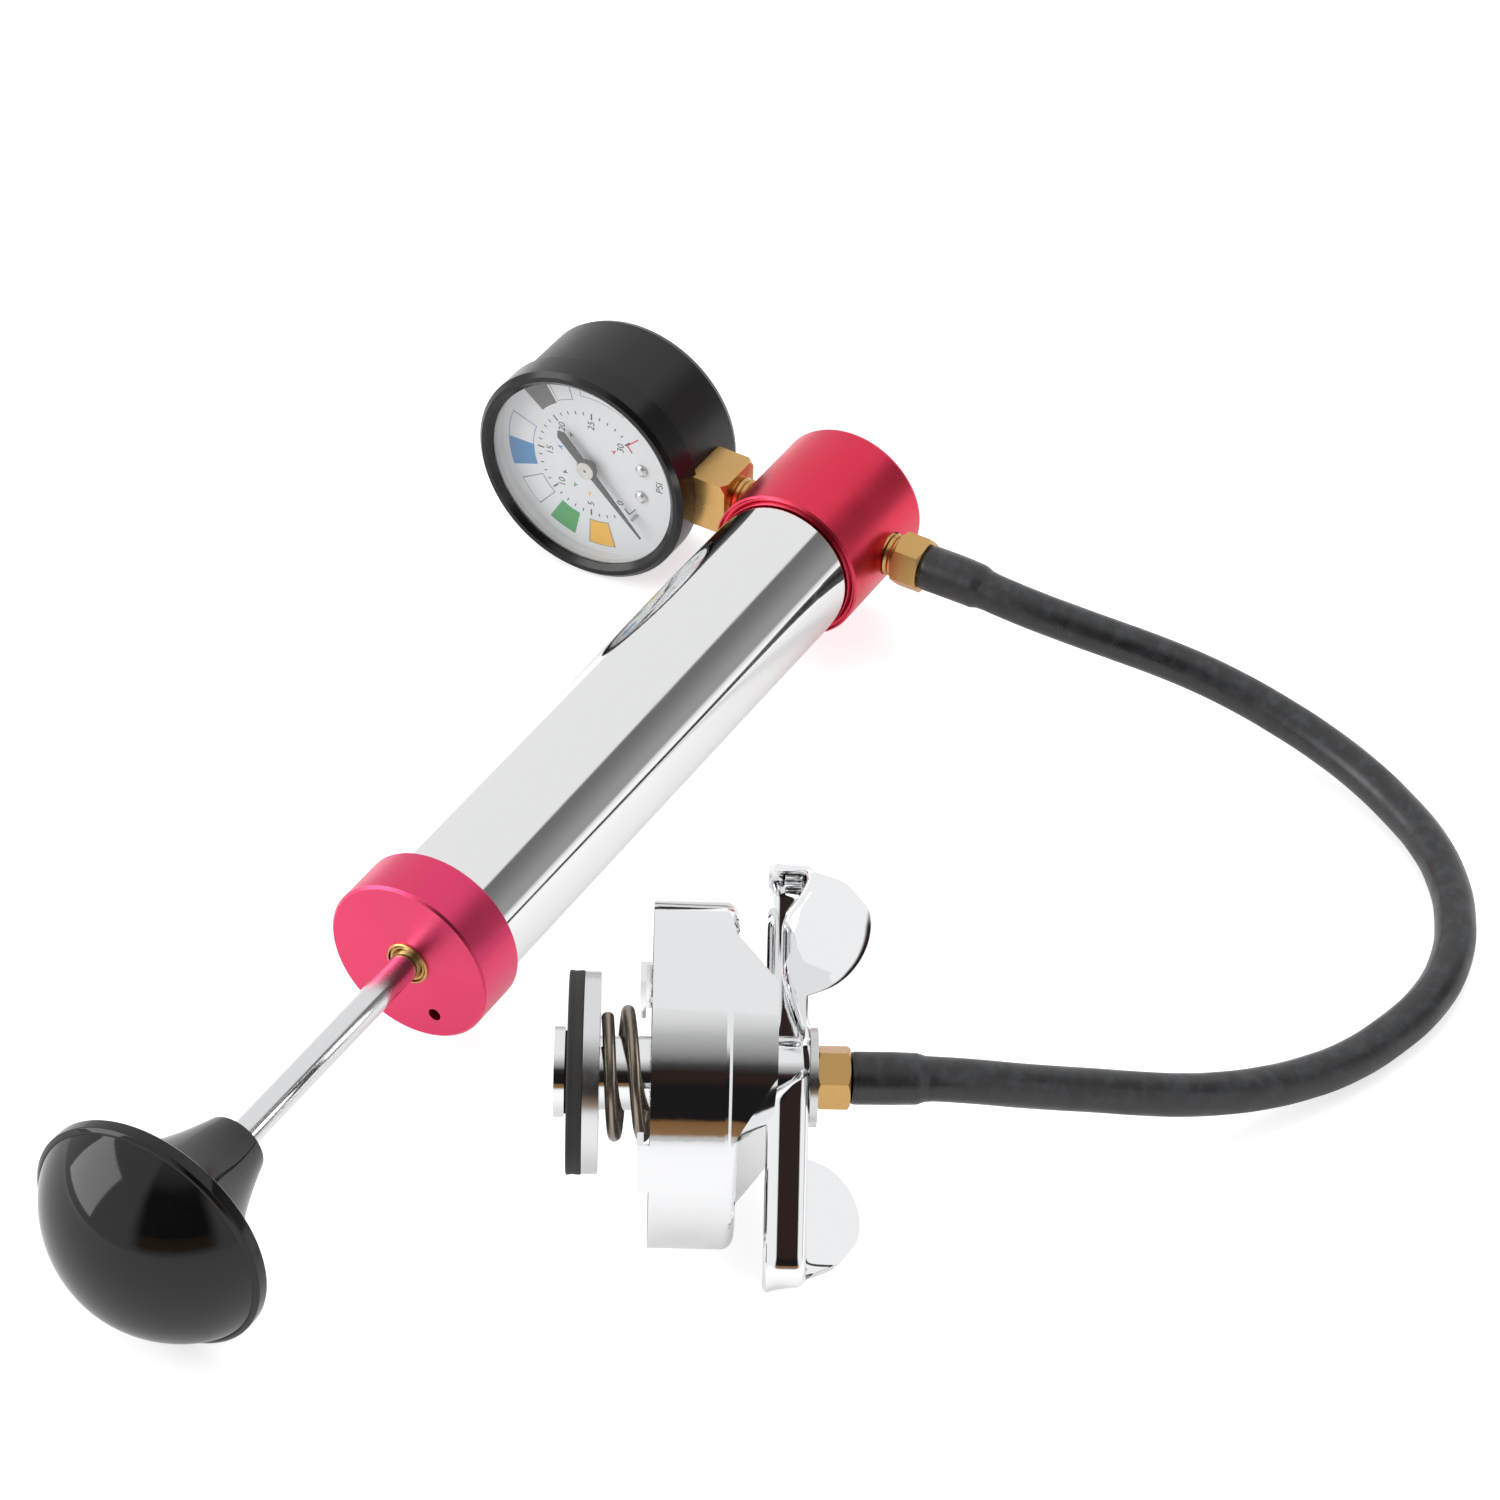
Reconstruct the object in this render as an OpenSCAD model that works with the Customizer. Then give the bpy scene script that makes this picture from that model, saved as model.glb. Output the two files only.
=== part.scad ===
// Hand pump, gauge, hose and filler-neck adapter of a radiator pressure tester.
// Millimetres. +X runs along the pump from its handle to its head, +Z is up, and
// the tool lies on z = 0: on the rim of its knob, its gauge and its adapter.

/* [Barrel and caps] */
// Outside diameter of the barrel tube
barrel_od = 31.6; // [29:0.1:38]
// Wall of the barrel tube
barrel_wall = 1.6; // [1:0.1:2]
// Length of the barrel tube
barrel_len = 153; // [130:1:190]
// Wall of the two red caps around the barrel
cap_wall = 2.2; // [1.6:0.1:3]
// Length of the front cap
front_cap_len = 12.2; // [9:0.1:16]
// Thickness of the front cap's face
front_cap_face = 4; // [3:0.1:6]
// Diameter of the air hole in the front cap
vent_d = 2.8; // [1.5:0.1:3.2]
// Outside diameter of the head
head_od = 34.8; // [33:0.1:42]
// Length of the head
head_len = 29.6; // [27:0.1:40]
// How deep the barrel goes into the head
head_socket = 10.2; // [8:0.1:14]
// Radius of the head's rear edge
head_round = 1.6; // [0.5:0.1:3]

/* [Handle and piston] */
// Diameter of the piston rod
rod_d = 6; // [4:0.1:8]
// Outside diameter of the rod's bush
bush_od = 9.4; // [8.5:0.1:12]
// Rod that shows between the cap and the knob as the tool lies
rod_shown = 59; // [20:1:90]
// Radius of the knob's rim
knob_r = 25; // [22:0.1:26]
// Height of the knob's dome over its rim
knob_dome = 15; // [10:0.1:20]
// Thickness of the knob's rim
knob_rim = 3; // [2:0.1:5]
// Length of the knob's tapered neck
knob_neck = 25.5; // [18:0.1:35]
// Diameter of the neck where the rod goes in
neck_d = 13.6; // [11:0.1:18]
// Length of the piston cup
cup_len = 8; // [5:0.1:12]

/* [Gauge] */
// Outside diameter of the gauge's bezel
bezel_od = 52.6; // [50:0.1:64]
// Width of the bezel along its axis
bezel_len = 7.5; // [5:0.1:10]
// Diameter of the opening in the bezel
bezel_opening = 46; // [43:0.1:49]
// Outside diameter of the gauge's case
case_od = 50.6; // [48:0.1:60]
// Depth of the gauge from the bezel's face to its back
gauge_depth = 27; // [24:0.1:36]
// Wall of the case
case_wall = 1; // [0.6:0.1:1.6]
// Distance from the pump's axis to the gauge's axis
gauge_offset = 54.5; // [52:0.1:66]
// Distance from the bezel's face back to the stem's axis
stem_back = 12.5; // [11:0.1:15]
// Side of the stem's square block
stem_block = 12.7; // [11:0.1:14]

/* [Fittings and hose] */
// Diameter of the threaded necks in the head
neck_thread_d = 9.6; // [8:0.1:11]
// Width across the flats of the head's hose fitting
head_hex = 11; // [10:0.1:14]
// Width across the flats of the adapter's hose fitting
adapter_hex = 10.8; // [10.2:0.1:14]
// Length of a hose fitting's hexagon
hex_len = 6.2; // [4:0.1:9]
// Outside diameter of the hose
hose_d = 8.5; // [7:0.1:9.5]
// Length of the barbed tail inside the hose
barb_len = 13; // [8:0.1:18]

/* [Adapter] */
// Outside diameter of the cap's skirt
cap_od = 65; // [60:0.5:72]
// Length of the cap's skirt
cap_len = 16; // [13:0.1:20]
// Sheet thickness of the cap and wing
sheet = 1.2; // [0.8:0.1:1.5]
// Height of the raised bar over the cap's top
bar_h = 7; // [5:0.1:9]
// Width of the raised bar at its top
bar_top_w = 18; // [17:0.1:22]
// Width of the raised bar at its foot
bar_foot_w = 38; // [36:0.1:50]
// Length of the wing handle
wing_len = 79; // [60:0.5:80]
// Width of the wing handle
wing_w = 18; // [17:0.1:20]
// Depth of the wing's side walls
wing_depth = 8; // [7:0.1:10]
// How far the wing's finger lobes stand out
lobe_h = 10.3; // [6:0.1:13]
// Diameter of the spindle
spindle_d = 14; // [11:0.1:15]
// Diameter of the spindle's flange
flange_d = 17.2; // [16:0.1:22]
// Diameter of the rubber seal
seal_d = 38.6; // [34:0.1:44]
// Thickness of the rubber seal
seal_t = 3; // [2:0.1:4]
// Thickness of the plate behind the seal
seal_plate_t = 3; // [2:0.1:4]
// Distance from the plate to the cap's rim
plate_gap = 9.6; // [9:0.1:14]
// Wire diameter of the adapter's spring
wire_d = 2.4; // [1.6:0.1:2.6]
// Outside diameter of the adapter's spring
spring_od = 26; // [23:0.1:30]

/* [Hidden] */
$fn = 96;

// Clearances
fit = 0.02;       // between pieces that are screwed or pressed together
running = 0.06;   // on the radius, between a shaft and its hole
eps = 0.5;        // how far a cut runs past the face that it opens

// Fixed places, which the hose's route joins: the head's cross bore, the middle of
// the cap's skirt and the direction of the adapter's axis
cross_x = 126;
pump_y = 14.5;
adapter_place = [-46.1, -55.6, 35.2];
adapter_turn = -59.6;
adapter_dip = 1.8;  // of its axis towards the hose, below level
wing_turn = 43;   // of the wing from upright
bar_turn = -31;   // of the raised bar from upright
ear_turn = -79.5;    // of the cap's ears from upright

// Pump, measured along its axis from the front cap's face
axis_z = knob_r;
barrel_r = barrel_od / 2;
bore_r = barrel_r - barrel_wall;
front_cap_r = barrel_r + cap_wall;
barrel_end = front_cap_face + barrel_len;
gasket_t = 1;
head_front = barrel_end - head_socket + gasket_t;
head_floor = barrel_end + gasket_t;
head_end = head_front + head_len;
collar_wall = 0.8;
collar_r = barrel_r + fit + collar_wall;
lip_len = 1.4;
lip_gap = 0.4;
cross_s = 163.6 - 158 + head_floor;
pump_x = cross_x - cross_s;
vent_r = bore_r - vent_d / 2 - 0.3;
vent_angle = 333;

// Check valve inside the head
seat_d = 12;
seat_t = 2.4;
inlet_d = 3;
chamber_d = 9;
disc_d = 7.4;
disc_t = 1.6;
chamber_end = head_end - 3.5;
valve_wire = 0.6;
valve_spring_d = 6.4;
valve_face = head_floor + seat_t;

// Piston and knob
stud_d = 4.4;
nut_af = 8;
nut_t = 4;
washer_t = 1.5;
plate_t = 2;
cup_wall = 2.2;
cup_floor = 2.4;
tip_gap = 1.5;
neck_gap = 1;
rod_tip = barrel_end - tip_gap - (rod_shown - neck_gap);
nut_s = rod_tip - 1 - nut_t;
cup_s = nut_s - washer_t - cup_floor;
plate_s = cup_s - plate_t;
neck_s = -rod_shown;
insert_d = 9;
insert_len = 16;
rod_in_knob = 14;

// Gauge, in its own frame: z out of the dial, -x up the dial
bezel_r = bezel_od / 2;
case_r = case_od / 2;
gauge_tilt = asin((bezel_r - axis_z) / gauge_offset);
bezel_wall = 0.8;
lens_t = 1.2;
dial_t = 0.6;
lens_z = -1.4;
dial_z = -6.6;
dial_r = case_r - case_wall - 0.5;
stem_z = -stem_back;
stem_boss_d = 9;
stem_boss_in = gauge_offset - 15.4;
stem_block_out = 21;
stem_tip = 7.5;
needle_zero = 315;  // degrees from the frame's x axis, towards its y axis
needle_tip = 17;
needle_tail = 7.5;
needle_t = 0.4;
needle_z = dial_z + dial_t + 1.6;
shaft_d = 1.6;
module_size = 0.3;
pinion_teeth = 12;
sector_teeth = 81;
gear_t = 1.2;
gear_z = dial_z - 3.4;
plate_low_z = dial_z - 5.4;
plate_high_z = dial_z - 1.4;
pivot_distance = module_size * (pinion_teeth + sector_teeth) / 2;
pivot_angle = 180;
sector_first = -11;
sector_last = 2;
link_r = 4.5;
link_angle = 160;   // of the sector's tail from the line to the pinion
link_way = 262;     // of the link from that line
link_len = 8;
tube_mid_r = 21.4;
tube_wide = 5;
tube_thick = 2.2;
tube_z = stem_z;

// Hose fittings
neck_out = 19.8;
head_fitting_out = neck_out + hex_len;
fitting_bore = 3;
barb_root_d = hose_d * 0.56;
barb_d = hose_d * 0.7;
barb_pitch = barb_len / 4;

// Adapter, measured along its axis from the middle of the skirt
rim_u = -cap_len / 2;
top_u = cap_len / 2;
cap_r = cap_od / 2;
bar_u = top_u + bar_h;
plate_u = rim_u - plate_gap;
seal_u = plate_u - seal_plate_t;
flange_u = seal_u - seal_t;
flange_washer_t = 0.5;
flange_recess = 0.3;  // of the seal, round the flange
flange_t = 2;
web_gap = 5.4;
web_u = bar_u + web_gap;
washer_u = web_u + sheet + 0.1;
thrust_t = 1.5;
thrust_d = 18.7;
hex_u = washer_u + thrust_t;
seat_disc_t = 1.2;
seat_disc_d = bar_foot_w + 6;
seat_gap = 0.1;
seat_u = top_u - sheet - seat_disc_t - seat_gap;
ear_len = 2.3;
ear_width = 18;    // degrees
ear_reach = 6;
spindle_bore = 5;
shank_d = 8;
shank_len = 12;
spindle_hole_r = spindle_d / 2 + running;

// Where the hose leaves its two fittings, and the way that it points there
adapter_way = [cos(adapter_dip) * cos(adapter_turn), cos(adapter_dip) * sin(adapter_turn),
               -sin(adapter_dip)];
hex_end_u = hex_u + hex_len;
hose_start = [cross_x, pump_y - head_fitting_out * cos(gauge_tilt),
              axis_z - head_fitting_out * sin(gauge_tilt)];
hose_end = adapter_place + hex_end_u * adapter_way;

// The hose's route between its fittings: down to the ground, round and up again
HOSE_ROUTE = [
    [126, -22, 24.2], [125.8, -30, 23.5], [126.6, -39, 22.2], [128.4, -47.6, 20.4],
    [130.6, -56.2, 18.4], [132.8, -65, 16.3], [134.5, -74, 14.1], [135.2, -83, 12],
    [134.8, -92.6, 10], [133.2, -103, 8.2], [130, -114, 6.6], [124.8, -125, 5.4],
    [118.4, -134.6, 4.8], [110, -142.8, 4.4], [99.6, -149.2, 4.4], [88, -153.4, 4.4],
    [74.6, -154.6, 4.4], [60.4, -152, 4.4], [49, -148.2, 5], [39.4, -143.4, 6.3],
    [30.6, -138.4, 8.5], [22.6, -133.2, 11.2], [15.4, -128, 14.2], [8.8, -122.6, 17.4],
    [2.4, -117.2, 20.8], [-4, -111.6, 24], [-10.2, -106.2, 27.2], [-16, -100.6, 30.2],
    [-21.4, -94.8, 32.6],
];
HOSE_SIDES = 10;

// ---- shared shapes ----

// A ring about +Z from z to z + h
module ring(r_out, r_in, h, z = 0) {
    translate([0, 0, z]) difference() {
        cylinder(r = r_out, h = h);
        translate([0, 0, -eps]) cylinder(r = r_in, h = h + 2 * eps);
    }
}

// A hexagonal bar about +Z with turned-down corners
module hex_bar(af, h, chamfer = 0.5) {
    intersection() {
        cylinder(r = af / sqrt(3), h = h, $fn = 6);
        union() {
            cylinder(r1 = af / 2, r2 = af / sqrt(3), h = chamfer);
            translate([0, 0, chamfer]) cylinder(r = af / sqrt(3), h = h - 2 * chamfer);
            translate([0, 0, h - chamfer]) cylinder(r1 = af / sqrt(3), r2 = af / 2, h = chamfer);
        }
    }
}

// A threaded neck about +Z: a plain core under turned rings
module threaded(r, h, pitch = 1) {
    depth = 0.35;
    rings = floor(h / pitch);
    outline = concat([[0, 0]],
        [for (i = [0:rings - 1]) each [[r - depth, i * pitch], [r, (i + 0.5) * pitch]]],
        [[r - depth, rings * pitch], [r - depth, h], [0, h]]);
    rotate_extrude() polygon(outline);
}

// A barbed hose tail about +Z, its base at z = 0
module barbs() {
    outline = concat([[fitting_bore / 2, 0]],
        [for (i = [0:3]) each [[barb_root_d / 2, i * barb_pitch], [barb_d / 2, i * barb_pitch + 0.4]]],
        [[barb_root_d / 2, barb_len], [fitting_bore / 2, barb_len]]);
    rotate_extrude() polygon(outline);
}

// Frames: +Z of the child runs along the named axis
module along_pump(s = 0) {
    translate([pump_x + s, pump_y, axis_z]) rotate([0, 90, 0]) children();
}

// Out of the head's side bore towards the gauge, from the pump's axis
module towards_gauge() {
    translate([cross_x, pump_y, axis_z]) rotate([gauge_tilt - 90, 0, 0]) children();
}

// Out of the head's side bore towards the hose, from the pump's axis
module towards_hose() {
    translate([cross_x, pump_y, axis_z]) rotate([gauge_tilt + 90, 0, 0]) children();
}

// The gauge's frame: z out of the dial, x towards the pump
module in_gauge() {
    translate([cross_x, pump_y, axis_z]) rotate([gauge_tilt, 0, 0])
        translate([-stem_back, gauge_offset, 0]) rotate([0, 0, -90]) rotate([90, 0, 0]) children();
}

// The adapter's frame: z along its axis towards the hose, -x up
module in_adapter(u = 0) {
    translate(adapter_place) rotate([0, 0, adapter_turn]) rotate([0, 90 + adapter_dip, 0])
        translate([0, 0, u]) children();
}

// Turns the adapter's x axis to an angle from upright
module from_upright(angle) {
    rotate([0, 0, 180 - angle]) children();
}

// ---- tubes swept along a list of points ----

function unit(v) = v / norm(v);

// Rings of a tube of the given radius square to its path, and its closed surface
module swept(path, radius, sides) {
    last = len(path) - 1;
    points = [for (i = [0:last]) let (
            ahead = unit(path[min(i + 1, last)] - path[max(i - 1, 0)]),
            side = unit(cross(ahead, abs(ahead.z) < 0.9 ? [0, 0, 1] : [1, 0, 0])),
            top = cross(side, ahead))
        for (k = [0:sides - 1]) let (a = 360 * k / sides)
            path[i] + radius * (cos(a) * side + sin(a) * top)];
    walls = [for (i = [0:last - 1]) for (k = [0:sides - 1]) let (
            a = i * sides + k, b = i * sides + (k + 1) % sides)
        each [[a, b, b + sides], [a, b + sides, a + sides]]];
    ends = [for (k = [1:sides - 2]) each [[0, k + 1, k],
        [last * sides, last * sides + k, last * sides + k + 1]]];
    polyhedron(points = points, faces = concat(walls, ends), convexity = 10);
}

// A compression spring's path: closed end turns, and open ones between them
function coil_height(t, turns, closed, length) =
    let (open_turns = turns - 2, open = (length - 2 * closed) / open_turns)
    t < 1 ? t * closed : t < turns - 1 ? closed + (t - 1) * open :
    closed + open_turns * open + (t - turns + 1) * closed;
function coil_point(t, r, turns, closed, length) =
    [r * cos(360 * t), r * sin(360 * t), coil_height(t, turns, closed, length)];
function coil_path(r, wire, turns, closed, length, steps = 8) = let (
        n = ceil(turns * steps),
        curl = [for (i = [0:n]) coil_point(turns * i / n, r, turns, closed, length)],
        tail = unit([-sin(360 * turns), cos(360 * turns), 0]))
    concat([curl[0] - [0, wire, 0]], curl, [curl[n] + wire * tail]);
function closest(path, steps) = min([for (i = [0:len(path) - 1]) for (j = [i + steps - 2:len(path) - 1])
    if (j > i && j < i + 2 * steps) norm(path[i] - path[j])]);

valve_spring_turns = 5;
valve_spring_len = chamber_end - valve_face - disc_t - valve_wire - 0.2;
valve_path = coil_path(valve_spring_d / 2 - valve_wire / 2, valve_wire, valve_spring_turns,
    valve_wire + 0.5, valve_spring_len);
cap_spring_turns = 3.8;
cap_spring_len = seat_u - plate_u - wire_d - 0.3;
cap_path = coil_path(spring_od / 2 - wire_d / 2, wire_d, cap_spring_turns, 1.7 * wire_d,
    cap_spring_len);
echo(cap_spring_gap = closest(cap_path, 8) - wire_d, valve_spring_gap = closest(valve_path, 8) - valve_wire);

// ---- pump ----

module front_cap() {
    edge = 0.5;
    color([0.85, 0.22, 0.42]) along_pump() difference() {
        rotate_extrude() polygon([
            [bush_od / 2 + fit, 0], [front_cap_r - edge, 0], [front_cap_r, edge],
            [front_cap_r, front_cap_len - edge], [front_cap_r - edge, front_cap_len],
            [barrel_r + fit, front_cap_len], [barrel_r + fit, front_cap_face],
            [bush_od / 2 + fit, front_cap_face]]);
        rotate([0, 0, vent_angle]) translate([vent_r, 0, -eps])
            cylinder(d = vent_d, h = front_cap_face + 2 * eps, $fn = 32);
    }
}

module rod_bush() {
    proud = 0.5;
    groove = 0.4;
    hole_r = rod_d / 2 + running;
    color([0.72, 0.6, 0.36]) along_pump() rotate_extrude() polygon([
        [hole_r, groove], [hole_r + 0.5, -proud / 2], [hole_r + 0.8, -proud / 2], [hole_r + 0.9, groove],
        [hole_r + 1.1, groove], [hole_r + 1.2, -proud], [bush_od / 2 - 0.2, -proud],
        [bush_od / 2, -proud + 0.2], [bush_od / 2, front_cap_face + 0.4],
        [hole_r, front_cap_face + 0.4]]);
}

module barrel() {
    color([0.86, 0.86, 0.87]) along_pump(front_cap_face) ring(barrel_r, bore_r, barrel_len);
}

module head_gasket() {
    color([0.12, 0.12, 0.12]) along_pump(barrel_end)
        ring(barrel_r - 0.1, seat_d / 2 + 2, gasket_t);
}

module head() {
    r = head_od / 2;
    socket_r = collar_r + fit;
    edge = 0.35;
    rear = head_len;
    floor_z = head_floor - head_front;
    color([0.78, 0.16, 0.24]) difference() {
        along_pump(head_front) rotate_extrude() polygon(concat([
                [socket_r + lip_gap, 0], [r - edge, 0], [r, edge]],
            [for (a = [0:10:90]) [r, rear] - head_round * [1 - cos(a), 1 - sin(a)]],
            [[0, rear], [0, floor_z], [socket_r, floor_z], [socket_r, lip_len],
            [socket_r + lip_gap, lip_len]]));
        along_pump(head_floor - eps) cylinder(r = seat_d / 2 + fit, h = seat_t + eps);
        along_pump(head_floor) cylinder(d = chamber_d, h = chamber_end - head_floor);
        towards_gauge() cylinder(r = neck_thread_d / 2 + fit, h = head_od);
        towards_hose() cylinder(r = neck_thread_d / 2 + fit, h = head_od);
    }
}

module head_collar() {
    color([0.72, 0.13, 0.22]) along_pump(head_front + 0.5) difference() {
        ring(collar_r, barrel_r + fit, head_socket - gasket_t - 0.5);
        translate([0, 0, -eps]) cylinder(r1 = collar_r, r2 = barrel_r + fit, h = 1);
    }
}

module valve_seat() {
    color([0.75, 0.6, 0.35]) along_pump(head_floor) ring(seat_d / 2, inlet_d / 2, seat_t);
}

module valve_disc() {
    guide_d = 3;
    color([0.1, 0.1, 0.1]) along_pump(valve_face + 0.02) union() {
        cylinder(d = disc_d, h = disc_t);
        cylinder(d = guide_d, h = disc_t + 3);
    }
}

module valve_spring() {
    color([0.7, 0.7, 0.7]) along_pump(valve_face + disc_t + valve_wire / 2 + 0.1)
        swept(valve_path, valve_wire / 2, 6);
}

// ---- handle and piston ----

module knob() {
    dome_r = knob_r - 1;
    ball_r = (dome_r * dome_r + knob_dome * knob_dome) / (2 * knob_dome);
    low = atan2(ball_r - knob_dome, dome_r);
    steps = 12;
    neck_root = 16;
    dome = [for (i = [0:steps]) let (a = low + (90 - low) * i / steps)
        [ball_r * cos(a), knob_neck + knob_rim + ball_r * sin(a) - (ball_r - knob_dome)]];
    color([0.06, 0.06, 0.06]) along_pump(neck_s) mirror([0, 0, 1]) difference() {
        rotate_extrude() polygon(concat([[0, 0], [neck_d / 2 - 0.4, 0], [neck_d / 2, 0.4],
            [neck_root, knob_neck - 3], [knob_r - 0.5, knob_neck], [knob_r, knob_neck + 0.5],
            [knob_r, knob_neck + knob_rim - 0.5], [knob_r - 0.5, knob_neck + knob_rim]], dome));
        translate([0, 0, -eps]) cylinder(r = rod_d / 2 + 0.2, h = insert_len + eps);
        translate([0, 0, 1.5]) cylinder(r = insert_d / 2 + fit, h = insert_len - 1.5);
    }
}

module knob_insert() {
    color([0.75, 0.6, 0.35]) along_pump(neck_s) mirror([0, 0, 1])
        ring(insert_d / 2, rod_d / 2 + fit, insert_len - 1.5 - 0.1, 1.5);
}

module piston_rod() {
    rod_end = neck_s - rod_in_knob;
    color([0.82, 0.83, 0.84]) union() {
        along_pump(rod_end) cylinder(d = rod_d, h = plate_s - rod_end);
        along_pump(plate_s) cylinder(d = stud_d, h = rod_tip - plate_s);
    }
}

module piston_plate() {
    color([0.75, 0.75, 0.75]) along_pump(plate_s) ring(bore_r - 1.6, stud_d / 2 + fit, plate_t);
}

module piston_cup() {
    r = bore_r - running;
    color([0.15, 0.13, 0.12]) along_pump(cup_s) rotate_extrude() polygon([
        [stud_d / 2 + fit, 0], [r - 0.8, 0], [r, 1], [r, cup_len], [r - 0.6, cup_len],
        [r - cup_wall, cup_floor + 1], [r - cup_wall, cup_floor], [stud_d / 2 + fit, cup_floor]]);
}

module piston_washer() {
    color([0.75, 0.75, 0.75]) along_pump(cup_s + cup_floor) ring(8, stud_d / 2 + fit, washer_t);
}

module piston_nut() {
    color([0.7, 0.7, 0.7]) along_pump(nut_s) difference() {
        hex_bar(nut_af, nut_t);
        translate([0, 0, -eps]) cylinder(r = stud_d / 2 + fit, h = nut_t + 2 * eps);
    }
}

// ---- gauge ----

module gauge_stem() {
    block_h = gauge_offset - case_r + 4 - stem_block_out;
    boss_h = stem_boss_in - stem_block_out;
    color([0.74, 0.58, 0.3]) towards_gauge() difference() {
        union() {
            translate([0, 0, stem_tip]) threaded(neck_thread_d / 2, stem_block_out - stem_tip, 1.2);
            difference() {
                intersection() {
                    translate([-stem_block / 2, -stem_block / 2, stem_block_out])
                        cube([stem_block, stem_block, block_h]);
                    translate([0, 0, stem_block_out])
                        cylinder(r1 = stem_block * 0.62, r2 = stem_block * 1.6, h = stem_block);
                }
                translate([-gauge_depth, 0, gauge_offset]) rotate([0, 90, 0])
                    cylinder(r = case_r + fit, h = 2 * gauge_depth);
                translate([-gauge_depth, 0, gauge_offset]) rotate([0, 90, 0])
                    cylinder(r = bezel_r + fit, h = gauge_depth - stem_back + bezel_len + running);
            }
            translate([0, 0, stem_block_out]) cylinder(d = stem_boss_d, h = boss_h);
        }
        translate([0, 0, stem_tip - eps])
            cylinder(d = fitting_bore, h = stem_boss_in - 4 - stem_tip, $fn = 32);
    }
}

module gauge_case() {
    inner_r = case_r - case_wall;
    flange = bezel_r - bezel_wall - running;
    color([0.09, 0.09, 0.09]) in_gauge() difference() {
        rotate_extrude() polygon([[0, -gauge_depth], [case_r - 2, -gauge_depth],
            [case_r - 0.6, -gauge_depth + 0.6], [case_r, -gauge_depth + 2], [case_r, -bezel_len],
            [case_r, -bezel_len + 0.4], [flange, -bezel_len + 0.4],
            [flange, -bezel_len + 1.2], [inner_r, -bezel_len + 1.2],
            [inner_r, -gauge_depth + case_wall], [0, -gauge_depth + case_wall]]);
        translate([case_r - 6, 0, stem_z]) rotate([0, 90, 0])
            cylinder(r = stem_boss_d / 2 + fit, h = 12);
    }
}

module gauge_bezel() {
    inner = bezel_r - bezel_wall;
    open_r = bezel_opening / 2;
    color([0.08, 0.08, 0.08]) in_gauge() rotate_extrude() polygon([
        [inner, -bezel_len], [bezel_r, -bezel_len], [bezel_r, -1], [bezel_r - 1, 0],
        [open_r + 1.2, 0], [open_r, -1], [open_r, lens_z], [inner, lens_z]]);
}

module gauge_lens() {
    color([0.9, 0.95, 1, 0.3]) in_gauge() translate([0, 0, lens_z - lens_t - fit])
        cylinder(r = bezel_r - bezel_wall - 0.1, h = lens_t);
}

module lens_gasket() {
    low = -bezel_len + 1.2;
    outer = case_r - case_wall - 0.1;
    color([0.85, 0.85, 0.85]) in_gauge() rotate_extrude() polygon([
        [bezel_r - bezel_wall - 0.1, low], [bezel_r - bezel_wall - 0.1, lens_z - lens_t - 2 * fit],
        [outer - 1, lens_z - lens_t - 2 * fit], [outer - 1, dial_z + dial_t], [outer, dial_z + dial_t],
        [outer, low]]);
}

module gauge_dial() {
    color([0.95, 0.96, 0.97]) in_gauge() difference() {
        translate([0, 0, dial_z]) cylinder(r = dial_r, h = dial_t);
        translate([0, 0, dial_z - eps]) cylinder(d = shaft_d + 0.8, h = dial_t + 2 * eps, $fn = 32);
        dial_screw_places() translate([0, 0, dial_z - eps]) cylinder(r = 0.8, h = 2, $fn = 24);
    }
}

module dial_screw_places() {
    for (side = [-1, 1]) translate([13, side * 3.6, 0]) children();
}

module dial_screws() {
    color([0.75, 0.76, 0.78]) in_gauge() dial_screw_places() union() {
        translate([0, 0, plate_high_z + 0.8])
            cylinder(r = 0.75, h = dial_z + dial_t - plate_high_z - 0.8, $fn = 24);
        translate([0, 0, dial_z + dial_t]) cylinder(r = 1.4, h = 0.5, $fn = 32);
        translate([0, 0, dial_z + dial_t + 0.5]) cylinder(r1 = 1.4, r2 = 0.8, h = 0.5, $fn = 32);
    }
}

module stop_pin() {
    angle = needle_zero + 7;
    color([0.7, 0.7, 0.72]) in_gauge() rotate([0, 0, angle])
        translate([needle_tip - 2, 0, dial_z + dial_t]) cylinder(r = 0.4, h = 2.8, $fn = 24);
}

module needle() {
    color([0.2, 0.2, 0.22]) in_gauge() rotate([0, 0, needle_zero]) difference() {
        union() {
            translate([0, 0, needle_z]) linear_extrude(needle_t) polygon([
                [needle_tip, -0.15], [needle_tip, 0.15], [0, 0.9], [-needle_tail, 1],
                [-needle_tail - 0.8, 0], [-needle_tail, -1], [0, -0.9]]);
            translate([0, 0, needle_z]) cylinder(r = 2.1, h = needle_t);
            translate([0, 0, needle_z + needle_t]) cylinder(r = 1.7, h = 0.7);
        }
        translate([0, 0, needle_z - eps]) cylinder(r = shaft_d / 2 + fit, h = needle_t + 0.9, $fn = 32);
    }
}

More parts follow.
